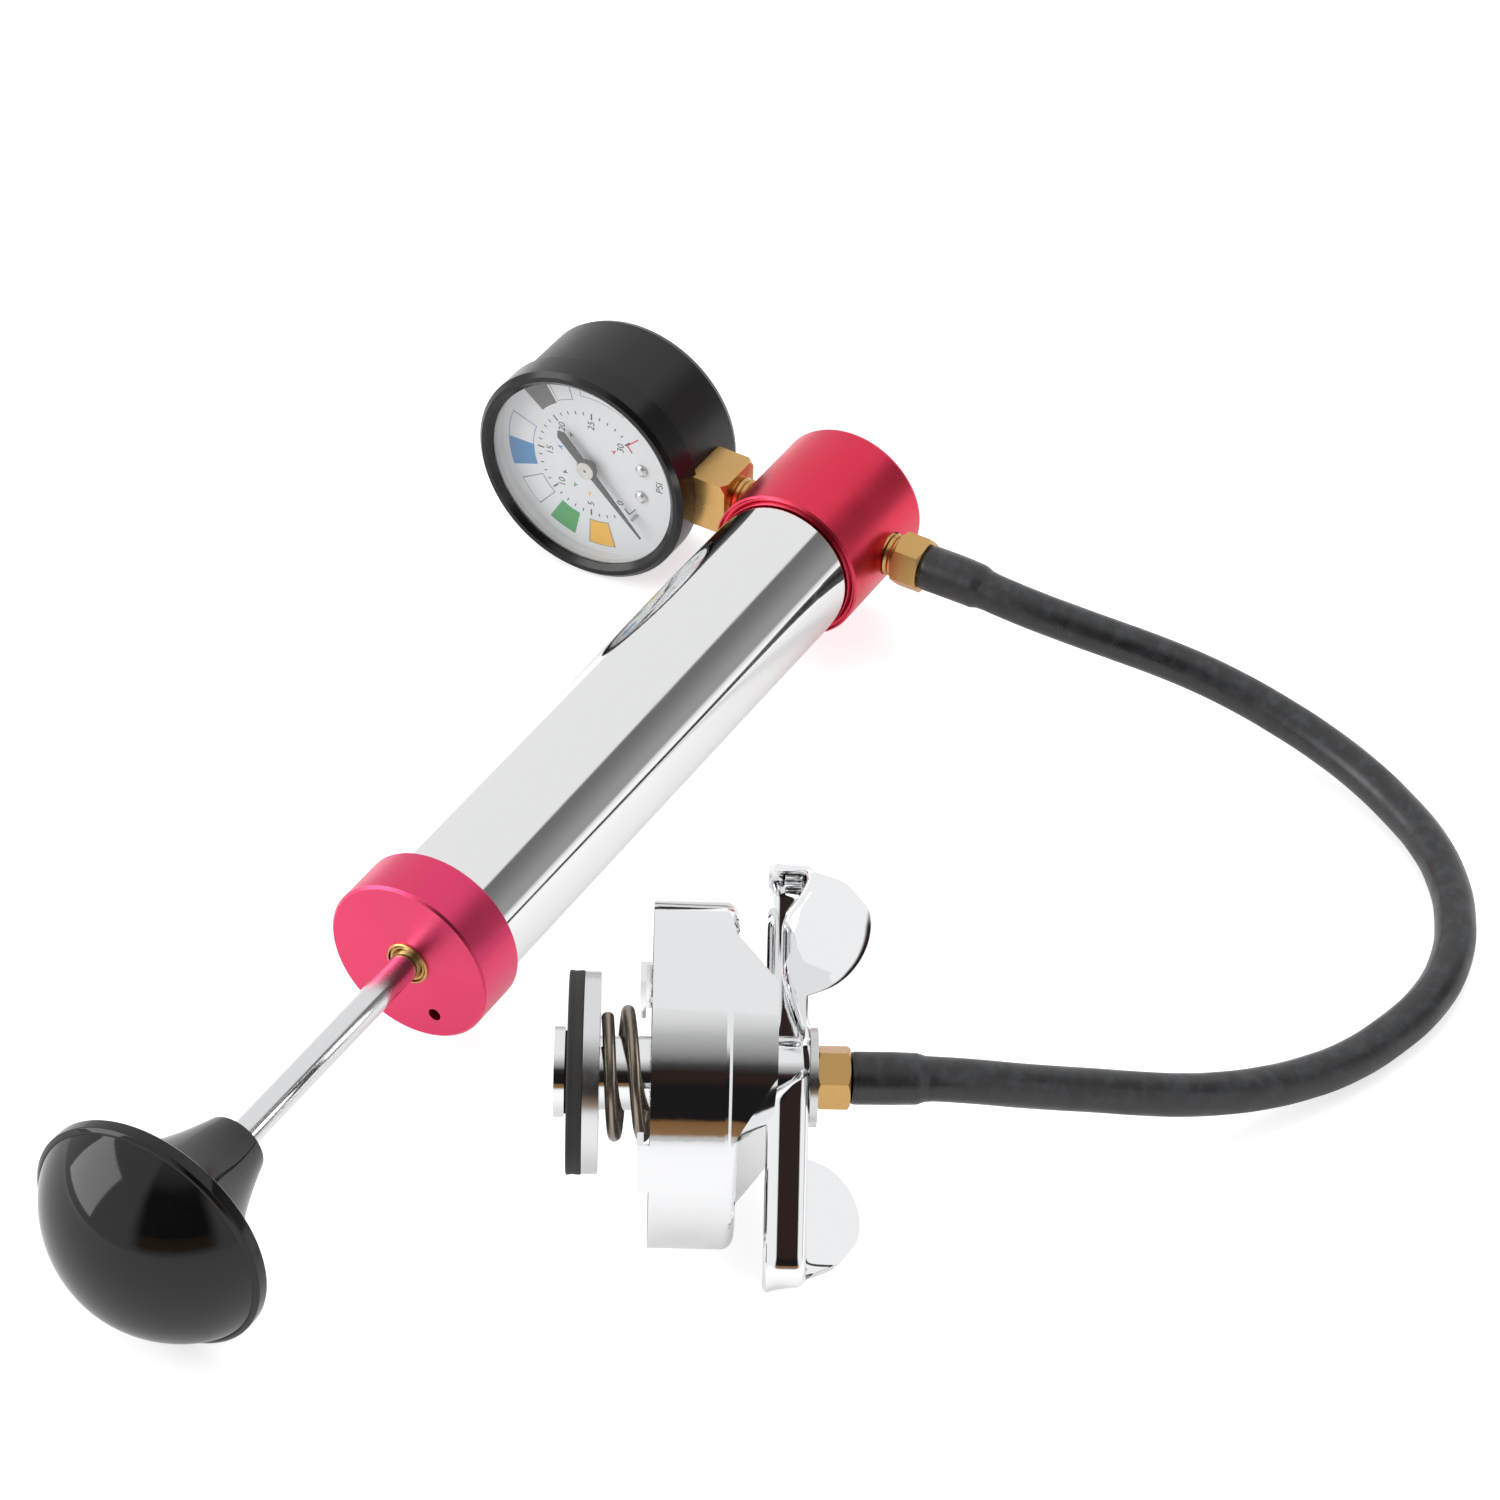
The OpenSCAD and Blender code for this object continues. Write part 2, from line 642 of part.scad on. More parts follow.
// Simple teeth about +Z, short and thin enough to turn freely in mesh
module toothed(teeth, first, last, body_r) {
    pitch_r = module_size * teeth / 2;
    step = 360 / teeth;
    root = pitch_r - module_size;
    tip = pitch_r + 0.7 * module_size;
    half_root = 0.32 * module_size * PI / 2;
    half_tip = 0.16 * module_size * PI / 2;
    linear_extrude(gear_t) union() {
        children();
        for (i = [first:last]) rotate(i * step) polygon([
            [body_r, -half_root * 1.2], [root, -half_root * 1.2], [pitch_r, -half_root], [tip, -half_tip],
            [tip, half_tip], [pitch_r, half_root], [root, half_root * 1.2], [body_r, half_root * 1.2]]);
    }
}

module pinion_shaft() {
    root = module_size * (pinion_teeth / 2 - 1);
    step = 360 / pinion_teeth;
    color([0.72, 0.6, 0.38]) in_gauge() union() {
        translate([0, 0, plate_low_z + 0.2])
            cylinder(d = shaft_d, h = needle_z + needle_t + 0.1 - plate_low_z, $fn = 32);
        translate([0, 0, gear_z]) rotate([0, 0, pivot_angle + step / 2])
            toothed(pinion_teeth, 0, pinion_teeth - 1, root - 0.2) circle(r = root, $fn = 48);
    }
}

// Centre of the sector's swing, its x axis towards the pinion
module at_sector_pivot() {
    rotate([0, 0, pivot_angle]) translate([pivot_distance, 0, 0]) rotate([0, 0, 180]) children();
}

// A pie slice between two angles
module slice(r, from, to) {
    polygon(concat([[0, 0]],
        [for (i = [0:4]) let (a = from + (to - from) * i / 4) [r * cos(a), r * sin(a)]]));
}

module sector_gear() {
    root = module_size * (sector_teeth / 2 - 1);
    step = 360 / sector_teeth;
    first = sector_first * step;
    last = sector_last * step;
    hub_r = 2;
    far = 2 * root;
    color([0.72, 0.6, 0.38]) in_gauge() at_sector_pivot() union() {
        translate([0, 0, gear_z]) toothed(sector_teeth, sector_first, sector_last, root - 0.4) {
            difference() {
                intersection() {
                    circle(r = root);
                    slice(far, first - 2, last + 2);
                }
                intersection() {
                    circle(r = root - 2);
                    slice(far, first + 8, last - 4);
                }
            }
            circle(r = hub_r, $fn = 48);
            rotate(link_angle) translate([0, -1]) square([link_r + 1, 2]);
        }
        translate([0, 0, plate_low_z + 0.2])
            cylinder(d = shaft_d, h = plate_high_z + 0.6 - plate_low_z, $fn = 32);
    }
}

// Where the link is pinned to the sector's tail
module at_link_pin() {
    at_sector_pivot() rotate([0, 0, link_angle]) translate([link_r, 0, gear_z + gear_t + 0.05])
        rotate([0, 0, link_way - link_angle]) children();
}

module sector_link() {
    color([0.7, 0.7, 0.7]) in_gauge() at_link_pin() linear_extrude(0.4) union() {
        translate([0, -0.5]) square([link_len, 1]);
        for (x = [0, link_len]) translate([x, 0]) circle(r = 0.9, $fn = 32);
    }
}

module movement_plates() {
    plate_h = 0.8;
    hole_r = shaft_d / 2 + running;
    half_w = 6.4;
    far_end = -17;
    near_end = 15;
    height = plate_high_z - plate_low_z + plate_h;
    color([0.74, 0.6, 0.34]) in_gauge() difference() {
        union() {
            for (z = [plate_low_z, plate_high_z]) translate([far_end, -half_w, z])
                cube([near_end - far_end, 2 * half_w, plate_h]);
            for (side = [-1, 1]) translate([7, side * (half_w - 1.3), plate_low_z])
                cylinder(r = 1.2, h = height, $fn = 32);
            dial_screw_places() translate([0, 0, plate_low_z]) cylinder(r = 1.6, h = height, $fn = 32);
        }
        translate([0, 0, plate_low_z - eps]) cylinder(r = hole_r, h = 10, $fn = 32);
        at_sector_pivot() translate([0, 0, plate_low_z - eps]) cylinder(r = hole_r, h = 10, $fn = 32);
    }
}

module bourdon_tube() {
    start = asin(stem_boss_d / 2 / (tube_mid_r - tube_thick)) + 0.5;
    finish = 212;
    color([0.76, 0.6, 0.34]) in_gauge() rotate([0, 0, start]) rotate_extrude(angle = finish - start)
        translate([tube_mid_r, tube_z]) square([tube_thick, tube_wide], center = true);
}

// ---- hose and its fittings ----

module head_fitting() {
    color([0.72, 0.52, 0.3]) towards_hose() difference() {
        union() {
            translate([0, 0, stem_tip]) threaded(neck_thread_d / 2, neck_out - stem_tip, 1.2);
            translate([0, 0, neck_out]) rotate([0, 0, 12]) hex_bar(head_hex, hex_len);
            translate([0, 0, head_fitting_out]) barbs();
        }
        translate([0, 0, stem_tip - eps])
            cylinder(d = fitting_bore, h = head_fitting_out + barb_len, $fn = 32);
    }
}

module hose() {
    path = concat([hose_start], HOSE_ROUTE, [hose_end]);
    color([0.2, 0.2, 0.21]) swept(path, hose_d / 2, HOSE_SIDES);
}

module adapter_fitting() {
    color([0.72, 0.52, 0.3]) in_adapter() difference() {
        union() {
            translate([0, 0, hex_u - shank_len]) cylinder(d = shank_d, h = shank_len);
            translate([0, 0, hex_u]) hex_bar(adapter_hex, hex_len);
            translate([0, 0, hex_end_u]) barbs();
        }
        translate([0, 0, hex_u - shank_len - eps])
            cylinder(d = fitting_bore, h = shank_len + hex_len + barb_len + 2 * eps, $fn = 32);
    }
}

// ---- adapter ----

module thrust_washer() {
    color([0.8, 0.8, 0.78]) in_adapter(washer_u) ring(thrust_d / 2, shank_d / 2 + fit, thrust_t);
}

module spindle() {
    rise = washer_u - flange_u + flange_washer_t;
    color([0.85, 0.85, 0.86]) in_adapter(flange_u - flange_washer_t) difference() {
        translate([0, 0, -flange_t]) cylinder(d = spindle_d, h = rise + flange_t);
        translate([0, 0, -flange_t - eps])
            cylinder(d = spindle_bore, h = rise + flange_t + 2 * eps, $fn = 48);
        translate([0, 0, rise - shank_len - 1 + thrust_t])
            cylinder(r = shank_d / 2 + fit, h = shank_len + eps);
    }
}

module spindle_flange() {
    color([0.85, 0.85, 0.86]) in_adapter(flange_u - flange_washer_t - flange_t)
        ring(flange_d / 2, spindle_d / 2 + fit, flange_t);
}

module flange_washer() {
    color([0.25, 0.25, 0.25]) in_adapter(flange_u - flange_washer_t)
        ring(flange_d / 2 - 0.8, spindle_d / 2 + fit, flange_washer_t + flange_recess);
}

module rubber_seal() {
    color([0.2, 0.19, 0.18]) in_adapter(flange_u) difference() {
        ring(seal_d / 2, spindle_d / 2 + fit, seal_t);
        translate([0, 0, -eps]) cylinder(r = flange_d / 2 + 0.3, h = eps + flange_recess);
    }
}

module seal_plate() {
    color([0.8, 0.8, 0.8]) in_adapter(seal_u) difference() {
        cylinder(r = seal_d / 2 - 0.3, h = seal_plate_t);
        translate([0, 0, -eps]) cylinder(r = spindle_d / 2 + fit, h = seal_plate_t + 2 * eps);
    }
}

module cap_spring() {
    color([0.6, 0.55, 0.48]) in_adapter(plate_u + wire_d / 2 + 0.15)
        rotate([0, 0, 165]) swept(cap_path, wire_d / 2, 6);
}

module spring_seat() {
    color([0.7, 0.7, 0.7]) in_adapter(seat_u) ring(seat_disc_d / 2, spindle_hole_r, seat_disc_t);
}

// The raised bar's section, its foot reaching under the cap's top
module bar_prism(foot_w, top_w, foot, top, under) {
    slope = (foot_w - top_w) / 2 / (top - foot);
    translate([0, cap_od, 0]) rotate([90, 0, 0]) linear_extrude(2 * cap_od) polygon([
        [-foot_w / 2 - slope * under, foot - under], [foot_w / 2 + slope * under, foot - under],
        [top_w / 2, top], [-top_w / 2, top]]);
}

module cap_shell() {
    edge = 2.4;
    inner_r = cap_r - sheet;
    bar_r = cap_r - 0.3;
    inset = 2 * sheet * 1.12;
    color([0.88, 0.88, 0.89]) in_adapter() union() {
        difference() {
            union() {
                rotate_extrude() polygon(concat([[0, rim_u], [cap_r, rim_u]],
                    [for (a = [0:15:90]) [cap_r - edge + edge * cos(a), top_u - edge + edge * sin(a)]],
                    [[0, top_u]]));
                intersection() {
                    cylinder(r = bar_r, h = bar_u);
                    from_upright(bar_turn) rotate([0, 0, 90])
                        bar_prism(bar_foot_w, bar_top_w, top_u, bar_u, edge);
                }
            }
            translate([0, 0, rim_u - eps]) cylinder(r = inner_r, h = cap_len + eps - sheet);
            intersection() {
                cylinder(r = bar_r - sheet, h = bar_u);
                from_upright(bar_turn) rotate([0, 0, 90])
                    bar_prism(bar_foot_w - inset, bar_top_w - inset / 2, top_u - sheet, bar_u - sheet, 1);
            }
            cylinder(r = spindle_hole_r, h = bar_u + eps);
        }
        cap_ears();
    }
}

// Two bent ears that hook under a filler neck's lip
module cap_ears() {
    play = 0.1;
    root = 0.8;
    outer = cap_r - play;
    inner = cap_r - sheet + play;
    low = rim_u - ear_len;
    for (side = [0, 180]) from_upright(ear_turn + side) intersection() {
        rotate_extrude() polygon([[inner, rim_u + root], [outer, rim_u + root], [outer, low],
            [cap_r - ear_reach, low], [cap_r - ear_reach, low + sheet], [inner, low + sheet]]);
        translate([0, 0, rim_u - 5]) linear_extrude(10) slice(cap_od, -ear_width / 2, ear_width / 2);
    }
}

module wing_sleeve() {
    color([0.8, 0.8, 0.8]) in_adapter(bar_u) ring(wing_w / 2 - sheet - 0.2, spindle_hole_r, web_gap);
}

// One half of the wing's walls: a deep wall on one side, a finger lobe on the other
module wing_half() {
    half = wing_len / 2;
    lobe_start = half * 0.38;
    lobe_lean = 3.2;
    wall_stop = half - 0.3;
    lobe_foot = half - 1.3;
    top = web_u + sheet;
    steps = 12;
    lobe = [for (i = [0:steps]) let (a = 180 * i / steps, swell = 1 - 0.25 * cos(a))
        [lobe_start + (lobe_foot - lobe_start) * (1 - cos(a)) / 2 + lobe_lean * sin(a),
         top - 0.01 + lobe_h * pow(sin(a), 0.9)]];
    // the deep wall
    translate([0, -wing_w / 2 + sheet, 0]) rotate([90, 0, 0]) linear_extrude(sheet)
        polygon([[-2, bar_u], [8, bar_u], [12, top - wing_depth], [wall_stop - 1, top - wing_depth],
            [wall_stop, top - wing_depth + 1], [wall_stop, top], [-2, top]]);
    // the lobe
    translate([0, wing_w / 2, 0]) rotate([90, 0, 0]) linear_extrude(sheet)
        polygon(concat([[lobe_start, web_u], [lobe_foot, web_u]], [for (i = [steps:-1:0]) lobe[i]]));
}

module wing_handle() {
    half = wing_len / 2;
    end_r = 5;
    color([0.88, 0.88, 0.89]) in_adapter() from_upright(wing_turn) difference() {
        union() {
            translate([0, 0, web_u]) linear_extrude(sheet) union() {
                square([wing_len - 2 * end_r, wing_w], center = true);
                square([wing_len, wing_w - 2 * end_r], center = true);
                for (x = [end_r - half, half - end_r]) for (y = [end_r - wing_w / 2, wing_w / 2 - end_r])
                    translate([x, y]) circle(r = end_r, $fn = 48);
            }
            for (side = [0, 180]) rotate([0, 0, side]) wing_half();
        }
        translate([0, 0, web_u - eps]) cylinder(r = spindle_hole_r, h = sheet + 2 * eps);
    }
}

front_cap();
rod_bush();
barrel();
head_gasket();
head();
head_collar();
valve_seat();
valve_disc();
valve_spring();
knob();
knob_insert();
piston_rod();
piston_plate();
piston_cup();
piston_washer();
piston_nut();
gauge_stem();
gauge_case();
gauge_bezel();
lens_gasket();
gauge_lens();
gauge_dial();
dial_screws();
stop_pin();
needle();
pinion_shaft();
sector_gear();
sector_link();
movement_plates();
bourdon_tube();
head_fitting();
hose();
adapter_fitting();
thrust_washer();
spindle();
spindle_flange();
flange_washer();
rubber_seal();
seal_plate();
cap_spring();
spring_seat();
cap_shell();
wing_sleeve();
wing_handle();
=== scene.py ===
"""Looks for a hand pump with a pressure gauge, a rubber hose and a filler-neck adapter.

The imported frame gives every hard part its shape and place. This script adds the pieces whose
shape matters most to the eye, gives every surface its finish, and sets the studio. Lengths in
the dataclasses are millimetres in a sub-assembly's own frame; Blender works in metres.
"""

import logging
import math
from dataclasses import dataclass
from enum import Enum

import bpy
from mathutils import Matrix, Vector


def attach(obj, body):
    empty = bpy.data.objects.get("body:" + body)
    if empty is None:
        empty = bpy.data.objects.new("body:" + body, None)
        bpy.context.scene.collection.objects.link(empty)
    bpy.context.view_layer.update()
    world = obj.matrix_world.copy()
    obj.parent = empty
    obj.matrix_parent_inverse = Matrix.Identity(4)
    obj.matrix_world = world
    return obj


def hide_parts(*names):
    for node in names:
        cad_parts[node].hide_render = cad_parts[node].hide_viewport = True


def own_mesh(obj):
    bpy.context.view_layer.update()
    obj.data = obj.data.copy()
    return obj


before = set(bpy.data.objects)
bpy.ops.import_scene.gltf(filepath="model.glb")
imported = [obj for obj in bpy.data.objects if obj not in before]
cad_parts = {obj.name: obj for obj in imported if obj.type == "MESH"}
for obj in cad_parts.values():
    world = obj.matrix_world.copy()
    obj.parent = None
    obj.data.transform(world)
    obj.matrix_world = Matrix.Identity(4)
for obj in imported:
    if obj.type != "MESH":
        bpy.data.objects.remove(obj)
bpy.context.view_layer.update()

LOG = logging.getLogger("tester")
MM = 0.001
WEAR_RADIUS = 0.35
SCRATCH_ROUGH = 0.25
MARK_ROUGH = 0.5
PAPER_WHITE = 0.72
PALE_SHARE = 0.25
COIL_STEPS = 25
Point = tuple[float, float, float]
Colour = tuple[float, float, float]


# ---------------------------------------------------------------- frames of reference


@dataclass(frozen=True)
class Place:
    """A sub-assembly's own frame: its origin in millimetres, and its x and z directions."""

    origin: Point
    x: Point
    z: Point

    def matrix(self) -> Matrix:
        """Builds the frame's matrix.

        Returns:
            The matrix that takes metres in the frame to metres in the shared frame.
        """
        z = Vector(self.z).normalized()
        y = z.cross(Vector(self.x)).normalized()
        turn = Matrix((y.cross(z), y, z)).transposed().to_4x4()
        return Matrix.Translation(Vector(self.origin) * MM) @ turn

    def point(self, x: float, y: float, z: float) -> Vector:
        """A point of this frame, in millimetres, as metres in the shared frame."""
        return self.matrix() @ (Vector((x, y, z)) * MM)


STEM_TILT = math.radians(1.367)
PUMP = Place((-37.6, 14.5, 25.0), (0, 0, -1), (1, 0, 0))
GAUGE = Place((113.5, 68.984, 26.3), (0, -math.cos(STEM_TILT), -math.sin(STEM_TILT)), (-1, 0, 0))
STEM = Place((126.0, 14.5, 25.0), (1, 0, 0), (0, math.cos(STEM_TILT), math.sin(STEM_TILT)))
ADAPTER = Place((-46.1, -55.6, 35.2), (-0.015895, 0.027093, -0.99951), (0.505784, -0.862088, -0.031411))


# ---------------------------------------------------------------- work on node trees


class Graph:
    """A node tree under construction, with short calls to add nodes and join them."""

    def __init__(self, tree: bpy.types.NodeTree) -> None:
        """Takes the tree to build in."""
        self.tree = tree

    def add(self, kind: str, **settings: object) -> bpy.types.Node:
        """Adds a node.

        Args:
            kind: The node's type without its ShaderNode prefix.
            **settings: Properties to set on it.

        Returns:
            The new node.
        """
        node = self.tree.nodes.new("ShaderNode" + kind)
        for name, value in settings.items():
            setattr(node, name, value)
        return node

    def join(self, source: bpy.types.NodeSocket, target: bpy.types.NodeSocket) -> None:
        """Links an output to an input."""
        self.tree.links.new(source, target)

    def fill(self, socket: bpy.types.NodeSocket, value: object) -> None:
        """Fills an input.

        Args:
            socket: The input.
            value: A socket to link to it, or else the value to set on it.
        """
        if isinstance(value, bpy.types.NodeSocket):
            self.join(value, socket)
        else:
            socket.default_value = value

    def math(self, operation: str, *values: object) -> bpy.types.NodeSocket:
        """Adds a Math node.

        Args:
            operation: The node's operation.
            *values: Up to three sockets or numbers.

        Returns:
            Its result.
        """
        node = self.add("Math", operation=operation)
        for socket, value in zip(node.inputs, values):
            self.fill(socket, value)
        return node.outputs[0]

    def ease(self, value: object, low: float, high: float,
             to: tuple[float, float] = (0, 1)) -> bpy.types.NodeSocket:
        """Maps a range smoothly to another, held at its ends.

        Args:
            value: The socket to map.
            low: The value that gives the first end of the new range.
            high: The value that gives its second end; it may be the lower one.
            to: The new range.

        Returns:
            The mapped value.
        """
        node = self.add("MapRange", interpolation_type="SMOOTHSTEP", clamp=True)
        flip = low > high
        ends = (high, low, to[1], to[0]) if flip else (low, high, to[0], to[1])
        self.fill(node.inputs[0], value)
        for socket, number in zip(node.inputs[1:5], ends):
            socket.default_value = number
        return node.outputs[0]

    def blend(self, share: object, first: object, second: object) -> bpy.types.NodeSocket:
        """Mixes two colours.

        Args:
            share: How much of the second colour there is.
            first: The colour at share 0, a socket or three numbers.
            second: The colour at share 1, a socket or three numbers.

        Returns:
            The mixed colour.
        """
        node = self.add("Mix", data_type="RGBA")
        for name, value in ((0, share), (6, first), (7, second)):
            if isinstance(value, tuple) and len(value) == 3:
                value = (*value, 1.0)
            self.fill(node.inputs[name], value)
        return node.outputs[2]

    def vector(self, operation: str, *values: object, out: int = 0) -> bpy.types.NodeSocket:
        """Adds a Vector Math node.

        Args:
            operation: The node's operation.
            *values: Its vectors, as sockets or numbers.
            out: 0 for its vector, 1 for its value.

        Returns:
            The output that out names.
        """
        node = self.add("VectorMath", operation=operation)
        for socket, value in zip(node.inputs, values):
            self.fill(socket, value)
        return node.outputs[out]

    def split(self, vector: bpy.types.NodeSocket) -> list[bpy.types.NodeSocket]:
        """Takes a vector apart.

        Args:
            vector: The vector.

        Returns:
            Its x, y and z.
        """
        node = self.add("SeparateXYZ")
        self.join(vector, node.inputs[0])
        return list(node.outputs)

    def pack(self, *parts: object) -> bpy.types.NodeSocket:
        """Makes a vector.

        Args:
            *parts: Up to three sockets or numbers; a part left out is 0.

        Returns:
            The vector.
        """
        node = self.add("CombineXYZ")
        for socket, value in zip(node.inputs, parts):
            self.fill(socket, value)
        return node.outputs[0]

    def sized(self, vector: bpy.types.NodeSocket, size: bpy.types.NodeSocket) -> bpy.types.NodeSocket:
        """Divides a vector by a size.

        Args:
            vector: The vector.
            size: The size in metres.

        Returns:
            The vector, on which a pattern of unit scale has that size.
        """
        node = self.add("VectorMath", operation="SCALE")
        self.join(vector, node.inputs[0])
        self.fill(node.inputs["Scale"], self.math("DIVIDE", 1.0, size))
        return node.outputs[0]

    def noise(self, vector: object, scale: object, detail: float = 4.0,
              rough: float = 0.55) -> bpy.types.NodeSocket:
        """Adds a Noise Texture.

        Args:
            vector: Where it is read.
            scale: How many of its cells fit in a unit of the vector.
            detail: How many finer layers it has.
            rough: How strong those are.

        Returns:
            Its value.
        """
        node = self.add("TexNoise")
        for name, value in (("Vector", vector), ("Scale", scale), ("Detail", detail), ("Roughness", rough)):
            self.fill(node.inputs[name], value)
        return node.outputs["Fac"]

    def use(self, group: bpy.types.NodeTree, **inputs: object) -> bpy.types.Node:
        """Places a node group.

        Args:
            group: The group.
            **inputs: What fills its inputs, by their names.

        Returns:
            The group's node.
        """
        node = self.add("Group")
        node.node_tree = group
        for name, value in inputs.items():
            self.fill(node.inputs[name], value)
        return node


def new_group(name: str, inputs: dict[str, str],
              outputs: list[str]) -> tuple[Graph, bpy.types.Node, bpy.types.Node]:
    """Starts a node group.

    Args:
        name: The group's name.
        inputs: Each input's name and the type of its socket, Float or Vector.
        outputs: The names of the outputs, all of type Float.

    Returns:
        The graph to build in, the group's input node and its output node.
    """
    tree = bpy.data.node_groups.new(name, "ShaderNodeTree")
    for label, kind in inputs.items():
        tree.interface.new_socket(name=label, in_out="INPUT", socket_type="NodeSocket" + kind)
    for label in outputs:
        tree.interface.new_socket(name=label, in_out="OUTPUT", socket_type="NodeSocketFloat")
    return Graph(tree), tree.nodes.new("NodeGroupInput"), tree.nodes.new("NodeGroupOutput")


def new_material(name: str, values: dict[str, object]) -> tuple[bpy.types.Material, Graph, bpy.types.Node]:
    """Starts a material.

    Args:
        name: The material's name.
        values: What to set on its Principled BSDF's own sockets, by their names.

    Returns:
        The material, the graph to build in and its Principled BSDF.
    """
    mat = bpy.data.materials.new(name)
    mat.use_nodes = True
    shader = mat.node_tree.nodes["Principled BSDF"]
    for label, value in values.items():
        shader.inputs[label].default_value = value
    return mat, Graph(mat.node_tree), shader


def surface(mat: bpy.types.Material, shader: bpy.types.Node) -> None:
    """Makes a shader the one that the material shows."""
    target = mat.node_tree.nodes["Material Output"].inputs["Surface"]
    mat.node_tree.links.new(shader.outputs[0], target)


class Effects:
    """The surface effects that several finishes share, each a node group built once."""

    scratch_turn: Point = (0.5, 0.9, 0.3)
    scratch_stretch: Point = (9.0, 0.5, 9.0)
    line_stretch: float = 60.0
    cell_depth: float = -0.6
    wear_noise: float = 900.0

    def __init__(self) -> None:
        """Builds the groups."""
        self.lathe_lines = self._lathe_lines()
        self.drawn_lines = self._drawn_lines()
        self.handling = self._handling()
        self.pebble = self._pebble()
        self.worn_edge = self._worn_edge()
        self.dust = self._dust()

    def _lathe_lines(self) -> bpy.types.NodeTree:
        """Builds fine rings round the z axis, on walls and on end faces alike.

        Returns:
            The node group.
        """
        g, start, end = new_group("lathe_lines", {"Vector": "Vector", "Pitch": "Float"}, ["Value"])
        x, y, z = g.split(start.outputs["Vector"])
        pitch = start.outputs["Pitch"]
        radius = g.vector("LENGTH", g.pack(x, y), out=1)
        lines = g.pack(g.math("DIVIDE", z, pitch), g.math("DIVIDE", radius, pitch))
        g.join(g.noise(lines, 1.0, 3.0, 0.6), end.inputs["Value"])
        return g.tree

    def _drawn_lines(self) -> bpy.types.NodeTree:
        """Builds long fine lines along the z axis, as a drawn rod or a polished tube has.

        Returns:
            The node group.
        """
        g, start, end = new_group("drawn_lines", {"Vector": "Vector", "Pitch": "Float"}, ["Value"])
        x, y, z = g.split(start.outputs["Vector"])
        pitch = start.outputs["Pitch"]
        long = g.math("MULTIPLY", pitch, self.line_stretch)
        lines = g.pack(*(g.math("DIVIDE", part, size) for part, size in ((x, pitch), (y, pitch), (z, long))))
        g.join(g.noise(lines, 1.0, 2.0, 0.5), end.inputs["Value"])
        return g.tree

    def _handling(self) -> bpy.types.NodeTree:
        """Builds smudges from hands, and thin stray scratches.

        Returns:
            The node group.
        """
        g, start, end = new_group("handling", {"Vector": "Vector", "Size": "Float"}, ["Smudge", "Scratch"])
        scaled = g.sized(start.outputs["Vector"], start.outputs["Size"])
        smudge = g.noise(scaled, 1.0, 5.0, 0.6)
        g.fill(end.inputs["Smudge"], g.ease(smudge, 0.36, 0.68))
        warp = g.add("Mapping", vector_type="POINT")
        warp.inputs["Rotation"].default_value = self.scratch_turn
        warp.inputs["Scale"].default_value = self.scratch_stretch
        g.join(scaled, warp.inputs["Vector"])
        line = g.noise(warp.outputs[0], 1.0, 2.0, 0.5)
        thin = g.ease(g.math("ABSOLUTE", g.math("SUBTRACT", line, 0.5)), 0.006, 0.0)
        rare = g.ease(g.noise(scaled, 2.3, 1.0, 0.5), 0.52, 0.62)
        g.fill(end.inputs["Scratch"], g.math("MULTIPLY", thin, rare))
        return g.tree

    def _pebble(self) -> bpy.types.NodeTree:
        """Builds the low rounded grain of moulded rubber and plastic.

        Returns:
            The node group.
        """
        g, start, end = new_group("pebble", {"Vector": "Vector", "Size": "Float"}, ["Height"])
        scaled = g.sized(start.outputs["Vector"], start.outputs["Size"])
        cells = g.add("TexVoronoi", feature="SMOOTH_F1")
        g.join(scaled, cells.inputs["Vector"])
        cells.inputs["Scale"].default_value = 1.0
        rough = g.noise(scaled, 1.7, 3.0, 0.6)
        domes = g.math("MULTIPLY", cells.outputs["Distance"], self.cell_depth)
        g.fill(end.inputs["Height"], g.math("ADD", domes, rough))
        return g.tree

    def _worn_edge(self) -> bpy.types.NodeTree:
        """Builds a mask of edges and corners, where a coating thins, broken up by noise.

        Returns:
            The node group.
        """
        g, start, end = new_group("worn_edge", {"Vector": "Vector", "Radius": "Float"}, ["Mask"])
        rounded = g.add("Bevel", samples=6)
        g.join(start.outputs["Radius"], rounded.inputs["Radius"])
        facing = g.add("NewGeometry")
        even = g.vector("DOT_PRODUCT", rounded.outputs[0], facing.outputs["Normal"], out=1)
        edge = g.ease(even, 0.985, 0.86)
        patchy = g.ease(g.noise(start.outputs["Vector"], self.wear_noise, 3.0), 0.3, 0.62, (0.25, 1))
        g.fill(end.inputs["Mask"], g.math("MULTIPLY", edge, patchy))
        return g.tree

    def _dust(self) -> bpy.types.NodeTree:
        """Builds a thin bloom, more on what faces up than on what faces down.

        Returns:
            The node group.
        """
        g, start, end = new_group("dust", {"Vector": "Vector", "Scale": "Float"}, ["Mask"])
        height = g.split(g.add("NewGeometry").outputs["Normal"])[2]
        cover = g.noise(start.outputs["Vector"], start.outputs["Scale"], 5.0, 0.5)
        patchy = g.ease(cover, 0.42, 0.66)
        up = g.ease(height, -0.3, 1.0, (0.15, 1))
        g.fill(end.inputs["Mask"], g.math("MULTIPLY", patchy, up))
        return g.tree


# ---------------------------------------------------------------- finishes


class Marks(Enum):
    """The marks that a surface keeps from its making."""

    TURNED = "turned"
    DRAWN = "drawn"
    MOULDED = "moulded"
    PLAIN = "plain"


